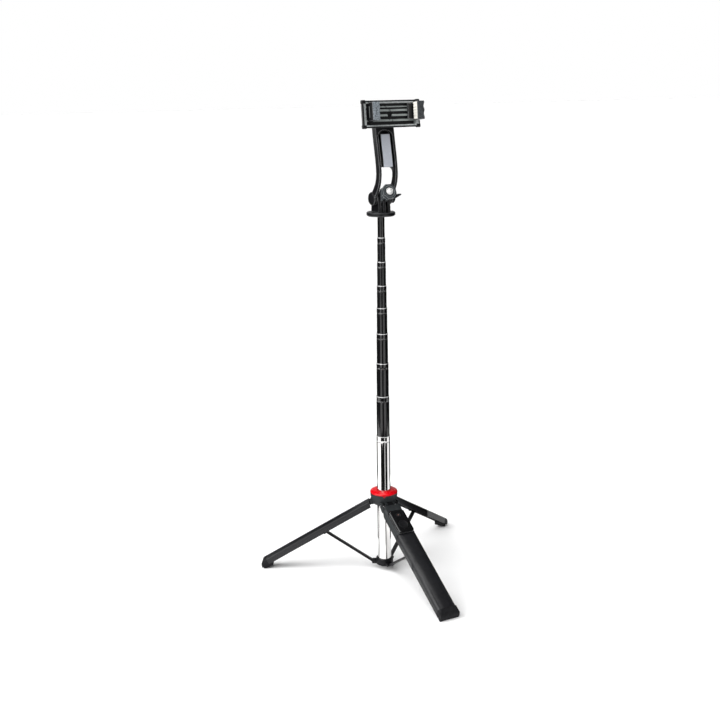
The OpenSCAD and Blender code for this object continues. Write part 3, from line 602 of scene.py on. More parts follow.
def soften(outline, radius, steps=4, closed=True):
    """Rounds the corners of an outline of 2-D points, with a curve that starts at most radius from each."""
    softened = []
    count = len(outline)
    for i, corner in enumerate(outline):
        if not closed and i in (0, count - 1):
            softened.append(tuple(corner))
            continue
        point = Vector(corner)
        before = Vector(outline[i - 1]) - point
        after = Vector(outline[(i + 1) % count]) - point
        reach = min(radius, before.length * 0.45, after.length * 0.45)
        start = point + before.normalized() * reach
        end = point + after.normalized() * reach
        for step in range(steps + 1):
            t = step / steps
            softened.append(tuple(start * (1 - t) ** 2 + point * 2 * t * (1 - t) + end * t * t))
    return softened


def spin(name, outline, turns=96, crease=32):
    """A turned piece: an outline of (radius, height) points in metres, spun round the Z axis."""
    mesh_data = bmesh.new()
    rows = []
    for step in range(turns):
        angle = 2 * math.pi * step / turns
        c, s = math.cos(angle), math.sin(angle)
        rows.append([mesh_data.verts.new((r * c, r * s, z)) for r, z in outline])
    for here, there in zip(rows, rows[1:] + rows[:1]):
        for i in range(len(outline)):
            j = (i + 1) % len(outline)
            mesh_data.faces.new((here[i], there[i], there[j], here[j]))
    return close_up(mesh_data, name, crease)


def skin(name, rings, capped=True, crease=32):
    """A moulded bar: rings of points, one after another, joined into a skin with flat ends."""
    mesh_data = bmesh.new()
    rows = [[mesh_data.verts.new(point) for point in ring] for ring in rings]
    for here, there in zip(rows, rows[1:]):
        for i in range(len(here)):
            j = (i + 1) % len(here)
            mesh_data.faces.new((here[i], here[j], there[j], there[i]))
    if capped:
        mesh_data.faces.new(rows[0])
        mesh_data.faces.new(rows[-1])
    return close_up(mesh_data, name, crease)


def slab_outline(width, height, radius, steps=8):
    """A rectangle with round corners, centred on the origin, as a list of 2-D points."""
    points = []
    for turn, (sx, sy) in enumerate([(1, 1), (-1, 1), (-1, -1), (1, -1)]):
        for step in range(steps + 1):
            angle = math.radians(90 * turn + 90 * step / steps)
            x = sx * (width / 2 - radius) + radius * math.cos(angle)
            y = sy * (height / 2 - radius) + radius * math.sin(angle)
            points.append((x, y))
    return points


def merge(name, meshes):
    """Several meshes as one."""
    mesh_data = bmesh.new()
    for part in meshes:
        mesh_data.from_mesh(part)
    mesh = bpy.data.meshes.new(name)
    mesh_data.to_mesh(mesh)
    mesh_data.free()
    return mesh


def carve(mesh, cutters, crease=32):
    """Cuts closed shapes out of a mesh, and returns what is left."""
    block = bpy.data.objects.new("carving_block", mesh)
    bpy.context.scene.collection.objects.link(block)
    tools = []
    for cutter in cutters:
        tool = bpy.data.objects.new("carving_tool", cutter)
        bpy.context.scene.collection.objects.link(tool)
        tools.append(tool)
        cut = block.modifiers.new("cut", "BOOLEAN")
        cut.operation = "DIFFERENCE"
        cut.solver = "EXACT"
        cut.object = tool
    bpy.context.view_layer.update()
    carved = bpy.data.meshes.new_from_object(block.evaluated_get(bpy.context.evaluated_depsgraph_get()))
    for tool in [block, *tools]:
        bpy.data.objects.remove(tool)
    carved.shade_smooth()
    carved.set_sharp_from_angle(angle=math.radians(crease))
    carved.materials.clear()
    return carved


def place(name, mesh, body, slot, stands_for=(), at=None, finish=None):
    """Puts a new piece in the frame: its finish, its body, and the CAD nodes that it stands for."""
    if at is not None:
        mesh.transform(at)
    piece = bpy.data.objects.new(name, mesh)
    bpy.context.scene.collection.objects.link(piece)
    mesh.materials.clear()
    mesh.materials.append(finish or finishes[slot])
    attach(piece, body)
    if stands_for:
        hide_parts(*stands_for)
    return piece


print("shape helpers ready")

# %% [markdown]
# ## The pole
#
# Each tube of a telescoping pole is drawn steel. Just under its top edge a wheel rolls a shallow groove
# inward, which stops the next tube's bush from pulling out, and the top edge itself is curled in. The
# lacquer rubs off both, so every joint shows as two thin bright lines. One outline, spun round the axis,
# makes a tube with its groove. The bright rings are separate pieces, because bare steel and lacquer are
# different finishes.

# %% Turn the tubes
WALL = 0.35 * MM
RING_HEIGHT = 1.3 * MM
GROOVE_BELOW = 8 * MM
GROOVE_DEPTH = 0.28 * MM
GROOVE_HALF = 0.75 * MM
BUSH_HEIGHT = 12 * MM
TUBE_GAP = 0.34 * MM
CURL_ROUND = 0.3 * MM
WORN_SHARE = 0.35
WORN_HALF = 0.35 * MM
WORN_BULGE = 0.12 * MM


def groove_points(radius, height):
    """The hollow of a rolled groove, as (radius, height) points from its lower edge to its upper one."""
    steps = 8
    points = []
    for i in range(steps + 1):
        inward = GROOVE_DEPTH * math.sin(math.pi * i / steps) ** 2
        points.append((radius - inward, height + GROOVE_HALF * (2 * i / steps - 1)))
    return points


def turned_tube(name, radius, low, high, with_groove):
    """A thin tube with a soft top edge and, under it, a rolled groove."""
    hollow = groove_points(radius, high - GROOVE_BELOW) if with_groove else []
    outer = [(radius, low), *hollow, (radius, high)]
    inner = [(radius - WALL, high), (radius - WALL, low)]
    return spin(name, outer + inner, turns=128)


def bright_rings(name, radius, high, next_radius):
    """The curled top edge, and the bare line where the groove's lacquer has rubbed off."""
    low = high - RING_HEIGHT
    curl = soften([(radius, low), (radius, high), (next_radius, high), (next_radius, low)], CURL_ROUND)
    groove = high - GROOVE_BELOW
    worn = radius - GROOVE_DEPTH * WORN_SHARE
    line = [
        (worn, groove - WORN_HALF),
        (worn + WORN_BULGE, groove),
        (worn, groove + WORN_HALF),
        (radius - WALL, groove),
    ]
    return merge(name, [spin(name, curl, turns=128), spin(name, line, turns=128)])


tube_low, tube_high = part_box("base_tube")
tube_radius = tube_high.x
base_tube = turned_tube("chrome_base_tube", tube_radius, tube_low.z, tube_high.z - RING_HEIGHT, True)
place("chrome_base_tube", base_tube, "pole_base", "chrome_tube", ["base_tube"])
rings = bright_rings("base_tube_rings", tube_radius, tube_high.z, tube_radius - WALL - TUBE_GAP / 2)
ring_steel = bare_ring()
place("base_tube_rings", rings, "pole_base", "chrome_tube", finish=ring_steel)
SECTIONS = 8
for number in range(1, SECTIONS + 1):
    node = f"section_{number}"
    low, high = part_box(node)
    radius = tube_radius - number * (WALL + TUBE_GAP)
    capped = number < SECTIONS
    top = high.z - (RING_HEIGHT if capped else 0)
    place(f"black_{node}", turned_tube(node, radius, low.z, top, capped), node, "black_tube", [node])
    bush_radius = radius + TUBE_GAP * 0.8
    bush_top = low.z + BUSH_HEIGHT
    bush = [(radius, low.z), (bush_radius, low.z), (bush_radius, bush_top), (radius, bush_top)]
    place(f"{node}_bush", spin(node, bush), node, "bush_plastic")
    if capped:
        rings = bright_rings(node, radius, high.z, radius - WALL - TUBE_GAP / 2)
        place(f"{node}_rings", rings, node, "black_tube", finish=ring_steel)
print("pole: base tube radius", round(tube_radius / MM, 2), "mm and", SECTIONS, "sections")

# %% [markdown]
# ## The red collar
#
# The collar is a soft-shouldered dome of glossy plastic, with a small arrow moulded onto its edge that
# shows which way the legs close. Its roundness is the whole look: a chamfer would show one hard line,
# where the real one has a highlight that slides over the shoulder. So the outline is rounded with a wide
# curve before it is spun.

# %% Turn the collar
COLLAR_HEIGHT = 5 * MM
COLLAR_BORE = 11.15 * MM
COLLAR_RADIUS = 22.5 * MM
ARROW_TURN = math.radians(-117)
ARROW_OUT = 22.3 * MM
ARROW_HALF = 3.2 * MM
ARROW_DROP = 3.4 * MM
ARROW_THICK = 0.4 * MM
ARROW_TAPER = 0.93

collar_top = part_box("hub_collar")[1].z
collar_foot = collar_top - COLLAR_HEIGHT
dome = soften(
    [
        (COLLAR_BORE, collar_foot),
        (COLLAR_RADIUS - 0.6 * MM, collar_foot),
        (COLLAR_RADIUS, collar_foot + 1.0 * MM),
        (COLLAR_RADIUS - 0.9 * MM, collar_foot + 3.0 * MM),
        (COLLAR_RADIUS - 5.2 * MM, collar_top - 0.4 * MM),
        (COLLAR_BORE + 0.8 * MM, collar_top),
        (COLLAR_BORE, collar_top - 0.8 * MM),
    ],
    1.6 * MM,
    steps=8,
)
arrow_shape = soften([(-ARROW_HALF, 0), (ARROW_HALF, 0), (0, -ARROW_DROP)], 0.7 * MM)
arrow_at = Matrix.Rotation(ARROW_TURN, 4, "Z") @ Matrix.Translation((ARROW_OUT, 0, collar_foot + 0.2 * MM))
arrow_foot = [(0, x, z) for x, z in arrow_shape]
arrow_face = [(ARROW_THICK, x * ARROW_TAPER, z * ARROW_TAPER) for x, z in arrow_shape]
arrow = skin("arrow", [arrow_foot, arrow_face])
arrow.transform(arrow_at)
place("red_collar", spin("dome", dome, turns=128, crease=60), "hub", "red_gloss", ["hub_collar"])
# The arrow's red is darker than the collar's: painted shade for the shadow under the collar's edge.
place("collar_arrow", arrow, "hub", "red_gloss", finish=red_skin("red_arrow_painted_shade", 0.3))
print("collar: top at", round(collar_top / MM, 1), "mm")

# %% [markdown]
# ## The grip
#
# The handle leg is the thick one, because it is the part that is held. It is a moulding that is open
# underneath, and its top is slightly crowned so that it sits well in the palm. That crown gives the long,
# broad highlight on its left side. A bevelled box would put the light in one thin line, so the section
# follows a superellipse: a curve between an ellipse and a rectangle.

# %% Mould the grip
GRIP_WALL = 1.8 * MM
GRIP_CORNER = 8.5 * MM
GRIP_SQUARENESS = 2.7
GRIP_STEPS = 32
GRIP_LOW = -9 * MM
GRIP_TOP = 4.5 * MM
GRIP_FROM = 62 * MM
GRIP_TO = 205 * MM
END_ROUND = 0.6 * MM
grip_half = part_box("handle_shell")[1].x


def grip_curve(half_width, top, corner):
    """The outer line of the grip's section, as (across, up) points from one lower edge to the other."""
    points = []
    for step in range(GRIP_STEPS + 1):
        angle = math.pi * step / GRIP_STEPS
        c, s = math.cos(angle), math.sin(angle)
        across = half_width * math.copysign(abs(c) ** (2 / GRIP_SQUARENESS), c)
        points.append((across, top - corner + corner * abs(s) ** (2 / GRIP_SQUARENESS)))
    return [(half_width, GRIP_LOW), *points, (-half_width, GRIP_LOW)]


def grip_ring(along, shrink):
    """One closed cross-section of the open-bottomed grip, drawn in by shrink on its outer side."""
    outer = grip_curve(grip_half - shrink, GRIP_TOP - shrink, GRIP_CORNER)
    inner = grip_curve(grip_half - GRIP_WALL, GRIP_TOP - GRIP_WALL, GRIP_CORNER - GRIP_WALL)
    return [(along, y, z) for y, z in outer + inner[::-1]]


grip_stops = [(0, END_ROUND), (END_ROUND * 0.4, END_ROUND * 0.3), (END_ROUND, 0)]
grip_rings = [grip_ring(GRIP_FROM + step, shrink) for step, shrink in grip_stops]
grip_rings += [grip_ring(GRIP_TO - step, shrink) for step, shrink in reversed(grip_stops)]
grip_finish = satin_black("satin_black_grip", (-leg_slope, 0, 0), (1, 25, 1))
place("grip", skin("grip", grip_rings), "handle_leg", "leg_black", ["handle_shell"], on_handle, grip_finish)
print("grip:", len(grip_rings), "rings of", len(grip_rings[0]), "points")

# %% [markdown]
# ## The remote
#
# The remote clips into the handle. Its case has a flat face, a polished bevel all round and two round
# buttons, each in a fine gap. A bevel modifier would also work here, but the gaps round the buttons have
# to be true holes, so the case is skinned from rounded outlines and then carved with two turned cutters.
# Each button is turned with a raised ring and a shallow dish for the thumb.

# %% Build the remote's case and buttons
REMOTE_FROM = 18 * MM
REMOTE_LENGTH = 46 * MM
REMOTE_WIDTH = 28 * MM
REMOTE_SPLIT = 4.6 * MM
REMOTE_TOP = 7.8 * MM
REMOTE_CORNER = 6 * MM
CASE_WALL = 1.5 * MM
BUTTON_GAP = 0.25 * MM
BUTTON_RISE = 0.5 * MM
SHUTTER = (48 * MM, 7.8 * MM)
MODE = (29 * MM, 4 * MM)
LAMP_RADIUS = 0.95 * MM


def case_ring(inset, up):
    """One outline of the remote's case, drawn in by inset, at a height above the hinge line."""
    corner = max(REMOTE_CORNER - inset, 1 * MM)
    shape = slab_outline(REMOTE_LENGTH - 2 * inset, REMOTE_WIDTH - 2 * inset, corner)
    return [(REMOTE_FROM + REMOTE_LENGTH / 2 + x, y, up) for x, y in shape]


case_steps = [(0, -2.2), (0.12, -1.7), (0.45, -1.2), (1.0, -0.72), (1.75, -0.34), (2.3, -0.12), (2.9, 0)]
case_rings = [case_ring(CASE_WALL, REMOTE_TOP - CASE_WALL), case_ring(CASE_WALL, REMOTE_SPLIT)]
case_rings += [case_ring(0, REMOTE_SPLIT)]
case_rings += [case_ring(inset * MM, REMOTE_TOP + drop * MM) for inset, drop in case_steps]
holes = []
for along, radius in (SHUTTER, MODE):
    r = radius + BUTTON_GAP
    hole = spin("hole", [(0, 0), (r, 0), (r, 2 * REMOTE_TOP), (0, 2 * REMOTE_TOP)], turns=64)
    hole.transform(Matrix.Translation((along, 0, 0)))
    holes.append(hole)
case = carve(skin("case", case_rings), holes)
place("remote_case", case, "remote", "remote_gloss", ["remote_top"], on_handle)


def button_outline(radius, centre):
    """Half of a button's section: a skirt under the case, a raised ring and a dish inside it."""
    top = REMOTE_TOP + BUTTON_RISE
    ring = radius - 1.0 * MM
    upper = [(radius, top - 0.5 * MM), (radius - 0.35 * MM, top), (ring, top - 0.05 * MM)]
    dish = [(ring - 0.4 * MM, top - 0.35 * MM), (ring * 0.55, top - 0.5 * MM), (centre, top - 0.55 * MM)]
    low = REMOTE_TOP - 2.4 * MM
    return [(centre, low), (radius, low), *soften(upper + dish, 0.3 * MM, closed=False)]


for name, body, (along, radius), centre in (
    ("shutter_button_cap", "shutter", SHUTTER, 0),
    ("mode_button_cap", "mode", MODE, LAMP_RADIUS),
):
    cap = spin(name, button_outline(radius, centre), turns=72, crease=40)
    cap.transform(Matrix.Translation((along, 0, 0)))
    node = "shutter_button" if body == "shutter" else "mode_button"
    place(name, cap, body, "button_black", [node], on_handle)
print("remote: case and 2 buttons")

# %% [markdown]
# ## The bright pin head
#
# The legs hang on black pins, but the end of the handle's own pin is bare steel and shows as a small dot.
# It is a turned disc with a slightly domed face. A bright material on the whole pin would light up the
# hidden ends too, so only this disc is steel.

# %% Set the bright pin head beside the hinge
PIN_HEAD = [(0, 0), (1.1 * MM, 0), (1.0 * MM, 0.35 * MM), (0, 0.45 * MM)]
PIN_CLEARANCE = 0.05 * MM
pin_head = spin("pin_head", PIN_HEAD, turns=32)
pin_head.transform(Matrix.Rotation(math.radians(-90), 4, "Y"))
pin_head.transform(Matrix.Translation((-grip_half - PIN_CLEARANCE, hinge.y, hinge.z)))
place("handle_pin_head", pin_head, "hub", "steel")
print("pin head at x =", round((-grip_half - PIN_CLEARANCE) / MM, 2), "mm")

# %% [markdown]
# ## The phone clamp's frame
#
# The frame is a shallow tray with a raised rim. On the real one the rim's inner edge is a pale chamfer,
# each corner has a small black lug, and the sides draw in towards the back. The frame is skinned from
# rounded outlines that step in and down. The chamfer is a ring of its own, so that it can have its own
# finish. Then a slot is carved through the right side for the sliding jaw.

# %% Build the clamp's frame
CLAMP_WIDTH = 95.3 * MM
CLAMP_HEIGHT = 39 * MM
RIM = 4 * MM
JAW_LOW, JAW_HIGH = -9.5 * MM, 16.8 * MM
NOTCH_GAP = 0.4 * MM
NUT_HOLE = 4.15 * MM
LUG_INSET = (2.9 * MM, 1.9 * MM)
LUG_DEPTH = -4.7 * MM
LUG_SIZE = (7 * MM, 5.2 * MM, 5.5 * MM)
LUG_ROUND = 1.3 * MM
RAIL_FACE = -1.4
SLIT_SECTION = ((-0.35, 0), (0.35, 0), (0.35, -0.15), (-0.35, -0.15))


def frame_ring(inset, depth, side_inset=None):
    """One outline of the clamp's frame, drawn in by inset, at a depth behind the swivel's middle plane."""
    corner = max(2.5 * MM - inset * 0.35, 1.0 * MM)
    across = CLAMP_WIDTH - 2 * (inset if side_inset is None else side_inset)
    shape = slab_outline(across, CLAMP_HEIGHT - 2 * inset, corner)
    return [(x, depth, z) for x, z in shape]


def round_block(centre, size, radius):
    """A small block with all its edges rounded, skinned from five outlines."""
    rings = []
    half = size[1] / 2
    for inset, depth in ((radius, -half), (radius * 0.3, -half + radius * 0.3), (0, -half + radius)):
        shape = slab_outline(size[0] - 2 * inset, size[2] - 2 * inset, radius, steps=5)
        rings.append([(centre[0] + x, centre[1] + depth, centre[2] + z) for x, z in shape])
    far = [[(x, 2 * centre[1] - y, z) for x, y, z in ring] for ring in reversed(rings)]
    return skin("block", rings + far)


def plain_block(low, high):
    """A block between two corners, to carve with."""
    corners = [(low[0], low[2]), (high[0], low[2]), (high[0], high[2]), (low[0], high[2])]
    return skin("block", [[(x, y, z) for x, z in corners] for y in (low[1], high[1])])


frame_steps = [
    (1.2, 7.0, 5.6), (0.6, 6.4, 5.0), (0, -5.0, 0.3), (0, -6.3, 0), (0.5, -7.0, 0.5), (2.0, -7.0, 2.6),
    (2.1, -6.5, 2.7), (3.9, -5.6, 6.3), (3.9, 1.0, 6.3),
]
tray = skin("tray", [frame_ring(inset * MM, depth * MM, side * MM) for inset, depth, side in frame_steps])
chamfer_steps = [
    (2.0, -6.6, 2.6), (2.1, -7.0, 2.7), (2.5, -6.95, 3.2), (4.0, -6.2, 6.4),
    (4.1, -5.8, 6.5), (4.1, 0.9, 6.5), (3.8, 0.9, 6.2), (3.8, -5.4, 6.2),
]
chamfer_rings = [frame_ring(inset * MM, depth * MM, side * MM) for inset, depth, side in chamfer_steps]
chamfer = skin("chamfer", chamfer_rings + chamfer_rings[:1], capped=False)
half_w, half_h = CLAMP_WIDTH / 2, CLAMP_HEIGHT / 2
notch_low = (half_w - RIM - 6 * MM, -9 * MM, JAW_LOW - NOTCH_GAP)
notch_high = (half_w + 2 * MM, -1.4 * MM, JAW_HIGH + NOTCH_GAP)
nut_hole = spin("nut_hole", [(0, -8 * MM), (NUT_HOLE, -8 * MM), (NUT_HOLE, 4.6 * MM), (0, 4.6 * MM)])
nut_hole.transform(Matrix.Rotation(math.radians(-90), 4, "X"))
tray = carve(tray, [plain_block(notch_low, notch_high), nut_hole])
lug_out, lug_up = half_w - LUG_INSET[0], half_h - LUG_INSET[1]
lugs = [
    round_block((sx * lug_out, LUG_DEPTH, sz * lug_up), LUG_SIZE, LUG_ROUND)
    for sx in (-1, 1)
    for sz in (-1, 1)
]
place("clamp_tray", merge("clamp_tray", [tray, *lugs]), "clamp", "frame_black", ["clamp_frame"], on_clamp)
chamfer = carve(chamfer, [plain_block(notch_low, notch_high)])
place("clamp_rim_chamfer", chamfer, "clamp", "frame_black", at=on_clamp, finish=rim_chamfer())
print("clamp frame: tray, chamfer and", len(lugs), "lugs")

# %% [markdown]
# ## The clamp's side hollow and slit
#
# Beside the left jaw is a hollow with one thin rib, and a fine curved slit crosses the rails. Each is
# a small skin of its own. The hollow is a thin dark inlay that paints the shade inside it. Carving them
# would be closer to how they are moulded, but at this size a dark inlay looks the same and keeps the
# frame's mesh simple.

# %% Build the side hollow and the slit
HOLLOW_FROM, HOLLOW_TO = -40.5 * MM, -31 * MM
HOLLOW_LOW, HOLLOW_HIGH = -13.5 * MM, 14.2 * MM
RIB_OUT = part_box("jaw_left")[0].x - 0.2 * MM
RIB_SIZE = (0.7 * MM, 0.9 * MM, 16 * MM)
RIB_ROUND = 0.3 * MM
SLIT_STEPS = 12
SLIT_LOW, SLIT_LENGTH = -9 * MM, 19 * MM
SLIT_AT, SLIT_BOW = 1.5 * MM, 2.4 * MM
arc_steps = 20
hollow_line = []
for step in range(arc_steps + 1):
    angle = math.pi / 2 + math.pi * step / arc_steps
    height = (HOLLOW_HIGH + HOLLOW_LOW) / 2 + (HOLLOW_HIGH - HOLLOW_LOW) / 2 * math.sin(angle)
    hollow_line.append((HOLLOW_TO + (HOLLOW_TO - HOLLOW_FROM) * math.cos(angle), height))
hollow = skin("hollow", [[(x, y, z) for x, z in hollow_line] for y in (-5.4 * MM, -4.6 * MM)])
# A dark inlay where the hollow's shade falls: painted shade.
place("clamp_side_hollow_painted_shade", hollow, "clamp", "frame_black", at=on_clamp, finish=finishes["black_plastic"])
rib = round_block((RIB_OUT, -10 * MM, 3 * MM), RIB_SIZE, RIB_ROUND)
place("clamp_side_rib", rib, "clamp", "frame_black", at=on_clamp, finish=finishes["rail_grey"])
slit_rings = []
for step in range(SLIT_STEPS + 1):
    z = SLIT_LOW + SLIT_LENGTH * step / SLIT_STEPS
    x = SLIT_AT - SLIT_BOW * (2 * step / SLIT_STEPS - 1) ** 2
    slit_rings.append([(x + dx * MM, (RAIL_FACE + dy) * MM, z) for dx, dy in SLIT_SECTION])
slit = skin("slit", slit_rings)
place("rail_slit", slit, "clamp", "frame_black", at=on_clamp, finish=finishes["black_plastic"])
print("clamp: side hollow, rib and slit")

# %% [markdown]
# ## The jaws
#
# The left jaw is fixed and the right one slides. A fingertip pulls the right jaw open, so its outer side
# is wavy: the wave is a squared sine, which starts and ends flat. Each jaw is one skin of outlines set one
# behind another, with a lip in front of the rubber pad. The pad's ribs are modelled, because a bump
# texture would leave its edge straight.

# %% Build the jaws and their ribbed pads
JAW_THICK = 9.5 * MM
JAW_FRONT = -20 * MM
RIM_PLANE = -7.4 * MM
RIM_INSIDE = 15.1 * MM
WAVE_DEPTH = 1.3 * MM
WAVE_LENGTH = 11 * MM
TONGUE = 9.7 * MM
LIP_DEPTH = 1.6
PAD_THICK = 2.3 * MM
RIBS = 6


def jaw_outline(side, grip_x, top, inset):
    """The jaw from the front: a flat gripping side and a wavy outer one, as (x, z) points."""
    middle = (JAW_LOW + JAW_HIGH) / 2
    low, high = JAW_LOW + inset, top - inset
    steps = 36
    wavy = []
    for step in range(steps + 1):
        z = low + (high - low) * step / steps
        wave = WAVE_DEPTH * math.sin(math.pi * (z - middle) / WAVE_LENGTH) ** 2
        if side < 0 or abs(z - middle) > WAVE_LENGTH:
            wave = 0
        corner = max(0.0, 1.0 * MM - min(z - low, high - z))
        wavy.append((grip_x + side * (JAW_THICK - inset - wave - corner * 0.6), z))
    flat = grip_x + side * inset
    return [(flat, low), *wavy, (flat, high)]


def jaw(side, grip_x, back):
    """A jaw with soft edges, a front lip over the pad's edge and a top that steps down behind the rim."""
    lip = side * -PAD_THICK
    stops = [(0, 0.7, lip), (0.25, 0.25, lip), (0.8, 0, lip), (LIP_DEPTH, 0, lip), (LIP_DEPTH + 0.02, 0, 0)]
    rings = [(JAW_FRONT + step * MM, JAW_HIGH, inset * MM, shift) for step, inset, shift in stops]
    rings += [(RIM_PLANE, JAW_HIGH, 0, 0), (RIM_PLANE, RIM_INSIDE, 0, 0), (back, RIM_INSIDE, 0, 0)]
    outlines = []
    for depth, top, inset, shift in rings:
        outline = jaw_outline(side, grip_x, top, inset)
        (first_x, first_z), (last_x, last_z) = outline[0], outline[-1]
        outline[0] = (first_x + shift, first_z)
        outline[-1] = (last_x + shift, last_z)
        outlines.append([(x, depth, z) for x, z in outline])
    return skin("jaw", outlines)


def tongue(side, grip_x, back):
    """The flat tongue that keeps a jaw square on the rails."""
    far = grip_x - side * TONGUE
    low = (min(grip_x, far), back - 2.8 * MM, JAW_LOW + 1.5 * MM)
    high = (max(grip_x, far), back, RIM_INSIDE - 0.2 * MM)
    return plain_block(low, high)


def ribbed_pad(side, grip_x):
    """A rubber pad with ribs across the grip, from the front: a straight back and a rippled face."""
    low, high = JAW_LOW + 1 * MM, JAW_HIGH - 1 * MM
    steps = RIBS * 8
    face = []
    for step in range(steps + 1):
        z = low + (high - low) * step / steps
        ripple = abs(math.sin(math.pi * RIBS * step / steps))
        face.append((grip_x - side * (PAD_THICK - 0.75 * MM * (1 - ripple**0.6)), z))
    outline = [(grip_x, low), *face, (grip_x, high)]
    return skin("pad", [[(x, y, z) for x, z in outline] for y in (JAW_FRONT + LIP_DEPTH * MM, RIM_PLANE)])


# The left jaw's front is coloured grey for the side light that falls on it: painted light over its real
# grain. The right jaw's front keeps the dark moulding colour.
jaw_fronts = {
    "left": jaw_moulding("jaw_front_painted_light", (0.04, 0.05, 0.06), (0.24, 0.27, 0.3)),
    "right": jaw_moulding("dark_jaw_front", (0.008, 0.009, 0.01), (0.05, 0.055, 0.06)),
}
for name, body, side, node in (("left", "clamp", -1, "jaw_left"), ("right", "right_jaw", 1, "jaw_right")):
    low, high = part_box(node)
    grip_x = high.x - TONGUE if side < 0 else low.x + TONGUE
    back = -1.4 * MM if side < 0 else -1.7 * MM
    block = place(f"{name}_jaw_block", jaw(side, grip_x, back), body, "arm_black", [node], on_clamp)
    block.data.materials.append(jaw_fronts[name])
    front = on_clamp.to_3x3() @ Vector((0, -1, 0))
    for face in block.data.polygons:
        face.material_index = 1 if face.normal.dot(front) > 0.7 else 0
    place(f"{name}_jaw_tongue", tongue(side, grip_x, back), body, "arm_black", at=on_clamp)
    pad = ribbed_pad(side, grip_x)
    place(f"{name}_jaw_ribbed_pad", pad, body, "pad_rubber", [f"jaw_pad_{name}"], on_clamp)
    print(name, "jaw grips at x =", round(grip_x / MM, 1), "mm")

# %% [markdown]
# ## The camera screw and the clamp's springs
#
# A screw's thread and a spring's wire are both helices, and both are easy to fake badly. For the thread,
# rings of points are stacked closely along the screw and each point's radius follows a triangle wave that
# moves on as it goes round: the crests then join into one continuous helix. For the spring, a small ring
# of points travels along a helix, as wire does on a coiling machine.

# %% Cut the thread and coil the springs
SCREW_RADIUS = 3.15 * MM
THREAD_DEPTH = 0.6 * MM
THREAD_PITCH = 1.27 * MM
SCREW_FROM, SCREW_TO = -19.2 * MM, -36.2 * MM
SOCKET_RADIUS = 1.7 * MM
FLANGE_RADIUS = 5.4 * MM
FLANGE_AT = -30.9 * MM
FLANGE_BORE = 2.4 * MM
FLANGE_HALF = 0.7 * MM
FLANGE_ROUND = 0.4 * MM
ROUND = 48


def ring_along_y(depth, radius_at):
    """A ring of points round the Y axis, whose radius may change with the angle."""
    angles = [2 * math.pi * i / ROUND for i in range(ROUND)]
    return [(radius_at(a) * math.cos(a), depth, radius_at(a) * math.sin(a)) for a in angles]


def thread_radius(depth, angle):
    """Distance of the thread's surface from the screw's axis."""
    phase = (depth / THREAD_PITCH - angle / (2 * math.pi)) % 1
    return SCREW_RADIUS - THREAD_DEPTH * abs(2 * phase - 1)


def hexagon(angle):
    """Distance of a hexagonal socket's wall from the screw's axis."""
    return SOCKET_RADIUS * math.cos(math.pi / 6) / math.cos((angle % (math.pi / 3)) - math.pi / 6)


thread_steps = int((SCREW_FROM - SCREW_TO) / THREAD_PITCH * 8)
screw_rings = []
for step in range(thread_steps + 1):
    depth = SCREW_FROM + (SCREW_TO - SCREW_FROM) * step / thread_steps
    screw_rings.append(ring_along_y(depth, lambda a, d=depth: thread_radius(d, a)))
tip = SCREW_TO - 0.4 * MM
screw_rings.append(ring_along_y(tip, lambda a: SCREW_RADIUS - THREAD_DEPTH))
screw_rings.append(ring_along_y(tip, hexagon))
screw_rings.append(ring_along_y(tip + 2.2 * MM, hexagon))
flange_line = [(FLANGE_BORE, -FLANGE_HALF), (FLANGE_RADIUS, -FLANGE_HALF)]
flange_line += [(FLANGE_RADIUS, FLANGE_HALF), (FLANGE_BORE, FLANGE_HALF)]
flange = spin("flange", soften(flange_line, FLANGE_ROUND))
flange.transform(Matrix.Translation((0, FLANGE_AT, 0)) @ Matrix.Rotation(math.radians(90), 4, "X"))
screw = merge("quarter_inch_screw", [skin("thread", screw_rings, crease=50), flange])
stands_for = ["camera_screw"]
place("camera_screw_threaded", screw, "camera_plate", "steel", stands_for, on_camera_plate, screw_painted_highlight())

WIRE = 0.4 * MM
COIL_RADIUS = 1.45 * MM
COIL_FROM, COIL_TO = 9.2 * MM, 25.8 * MM
COIL_TURNS = 11
COIL_DEPTH = 9 * MM
COIL_ROWS = (-9 * MM, 9 * MM)


def coil_spring(row):
    """Spring wire: a ring of points that travels along a helix round an axis parallel to X."""
    steps = COIL_TURNS * 24
    rings = []
    for step in range(steps + 1):
        turn = 2 * math.pi * COIL_TURNS * step / steps
        along = COIL_FROM + (COIL_TO - COIL_FROM) * step / steps
        outward = Vector((0, math.cos(turn), math.sin(turn)))
        centre = Vector((along, COIL_DEPTH, row)) + outward * (COIL_RADIUS - WIRE)
        ring = []
        for corner in range(8):
            angle = 2 * math.pi * corner / 8
            sideways = Vector((math.sin(angle), 0, 0))
            ring.append(centre + (outward * math.cos(angle) + sideways) * WIRE)
        rings.append(ring)
    return skin("coil", rings, crease=70)


springs = merge("coils", [coil_spring(row) for row in COIL_ROWS])
place("jaw_coil_springs", springs, "clamp", "steel", ["jaw_springs"], on_clamp)
print("thread of", thread_steps, "rings and", len(COIL_ROWS), "springs of", COIL_TURNS, "turns")

# %% [markdown]
# ## The pieces that come straight from CAD
#
# The hub, legs, feet, fork and the rest already have their real shape. They need two things. First, a
# small round on every sharp edge, because a mould or a cutter always leaves one: a Weld modifier joins
# the faces that the file format split apart, and a Bevel modifier then rounds the edges, without touching
# the CAD mesh itself. Second, the finish of their slot. The legs' grain runs along each leg, so each leg
# has its own turn of the same finish.

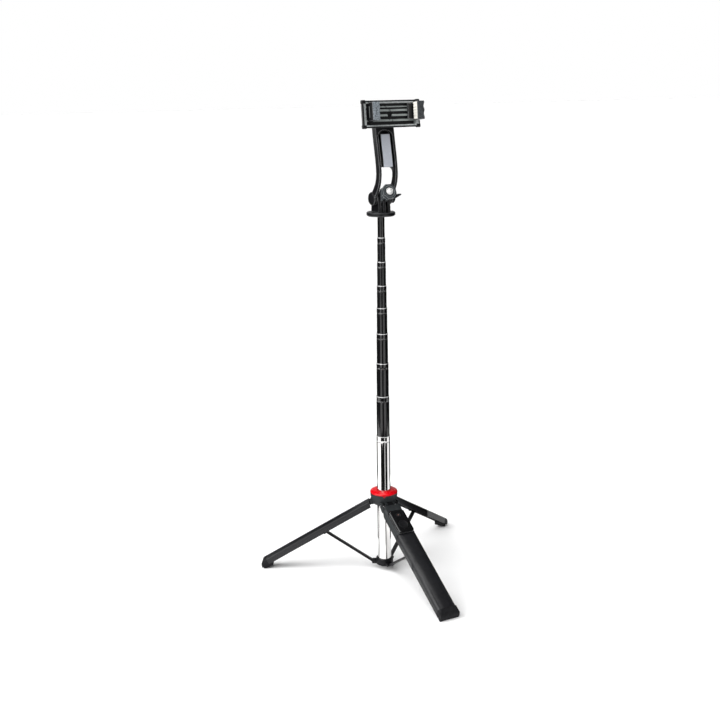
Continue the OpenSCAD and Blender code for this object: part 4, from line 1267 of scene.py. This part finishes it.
# %% Round the edges and dress the CAD pieces
EDGE_ANGLE = math.radians(38)
rounded = {
    0.8: ("fork_arm",),
    0.6: ("hub_body", "handle_foot", "clamp_back"),
    0.5: ("head_base", "camera_plate", "leg_left_foot", "leg_right_foot", "remote_cradle"),
    0.4: ("tilt_lever", "tilt_cap", "handle_brace", "leg_left_brace", "leg_right_brace", "lower_hub"),
    0.35: ("leg_left_channel", "leg_right_channel"),
    0.3: ("arm_plate", "remote_base"),
    0.25: ("guide_rails",),
}
edge_rounds = {node: size for size, nodes in rounded.items() for node in nodes}
USUAL_ROUND = 0.15
finishes["swivel_screw"] = finishes["black_plastic"]
# The camera plate and the head base get paler rims as well: a painted highlight along their edges.
finishes["camera_plate"] = pale_edged("slate_camera_plate_painted_rim_highlight", (0.03, 0.035, 0.038), (0.6, 0.64, 0.66), 1.5)
finishes["head_base"] = pale_edged("head_painted_rim_highlight", (0.003, 0.003, 0.004), (0.3, 0.31, 0.32), 1.0)
dark_pins = ("hub_pins", "lower_hub_pins", "leg_left_brace_pin", "leg_right_brace_pin", "handle_brace_pin")
for node in dark_pins:
    finishes[node] = finishes["black_plastic"]
leg_turns = {"leg_left_channel": math.radians(150), "leg_right_channel": math.radians(30)}
for node, turn in leg_turns.items():
    finishes[node] = satin_black(f"satin_black_{node}", (0, leg_slope, turn), (25, 1, 1))

dressed = 0
for node, piece in frame["nodes"].items():
    if piece.hide_render:
        continue
    slot = piece.data.materials[0].name.split(".")[0]
    piece.data.materials[0] = finishes.get(node, finishes[slot])
    if "custom_normal" in piece.data.attributes:
        piece.data.attributes.remove(piece.data.attributes["custom_normal"])
    piece.data.shade_smooth()
    weld = piece.modifiers.new("join_split_faces", "WELD")
    weld.merge_threshold = 0.002 * MM
    rounding = piece.modifiers.new("round_edges", "BEVEL")
    rounding.limit_method = "ANGLE"
    rounding.angle_limit = EDGE_ANGLE
    rounding.width = edge_rounds.get(node, USUAL_ROUND) * MM
    rounding.segments = 3
    rounding.miter_outer = "MITER_ARC"
    shading = piece.modifiers.new("even_shading", "WEIGHTED_NORMAL")
    shading.keep_sharp = True
    dressed += 1
print(dressed, "CAD pieces dressed")
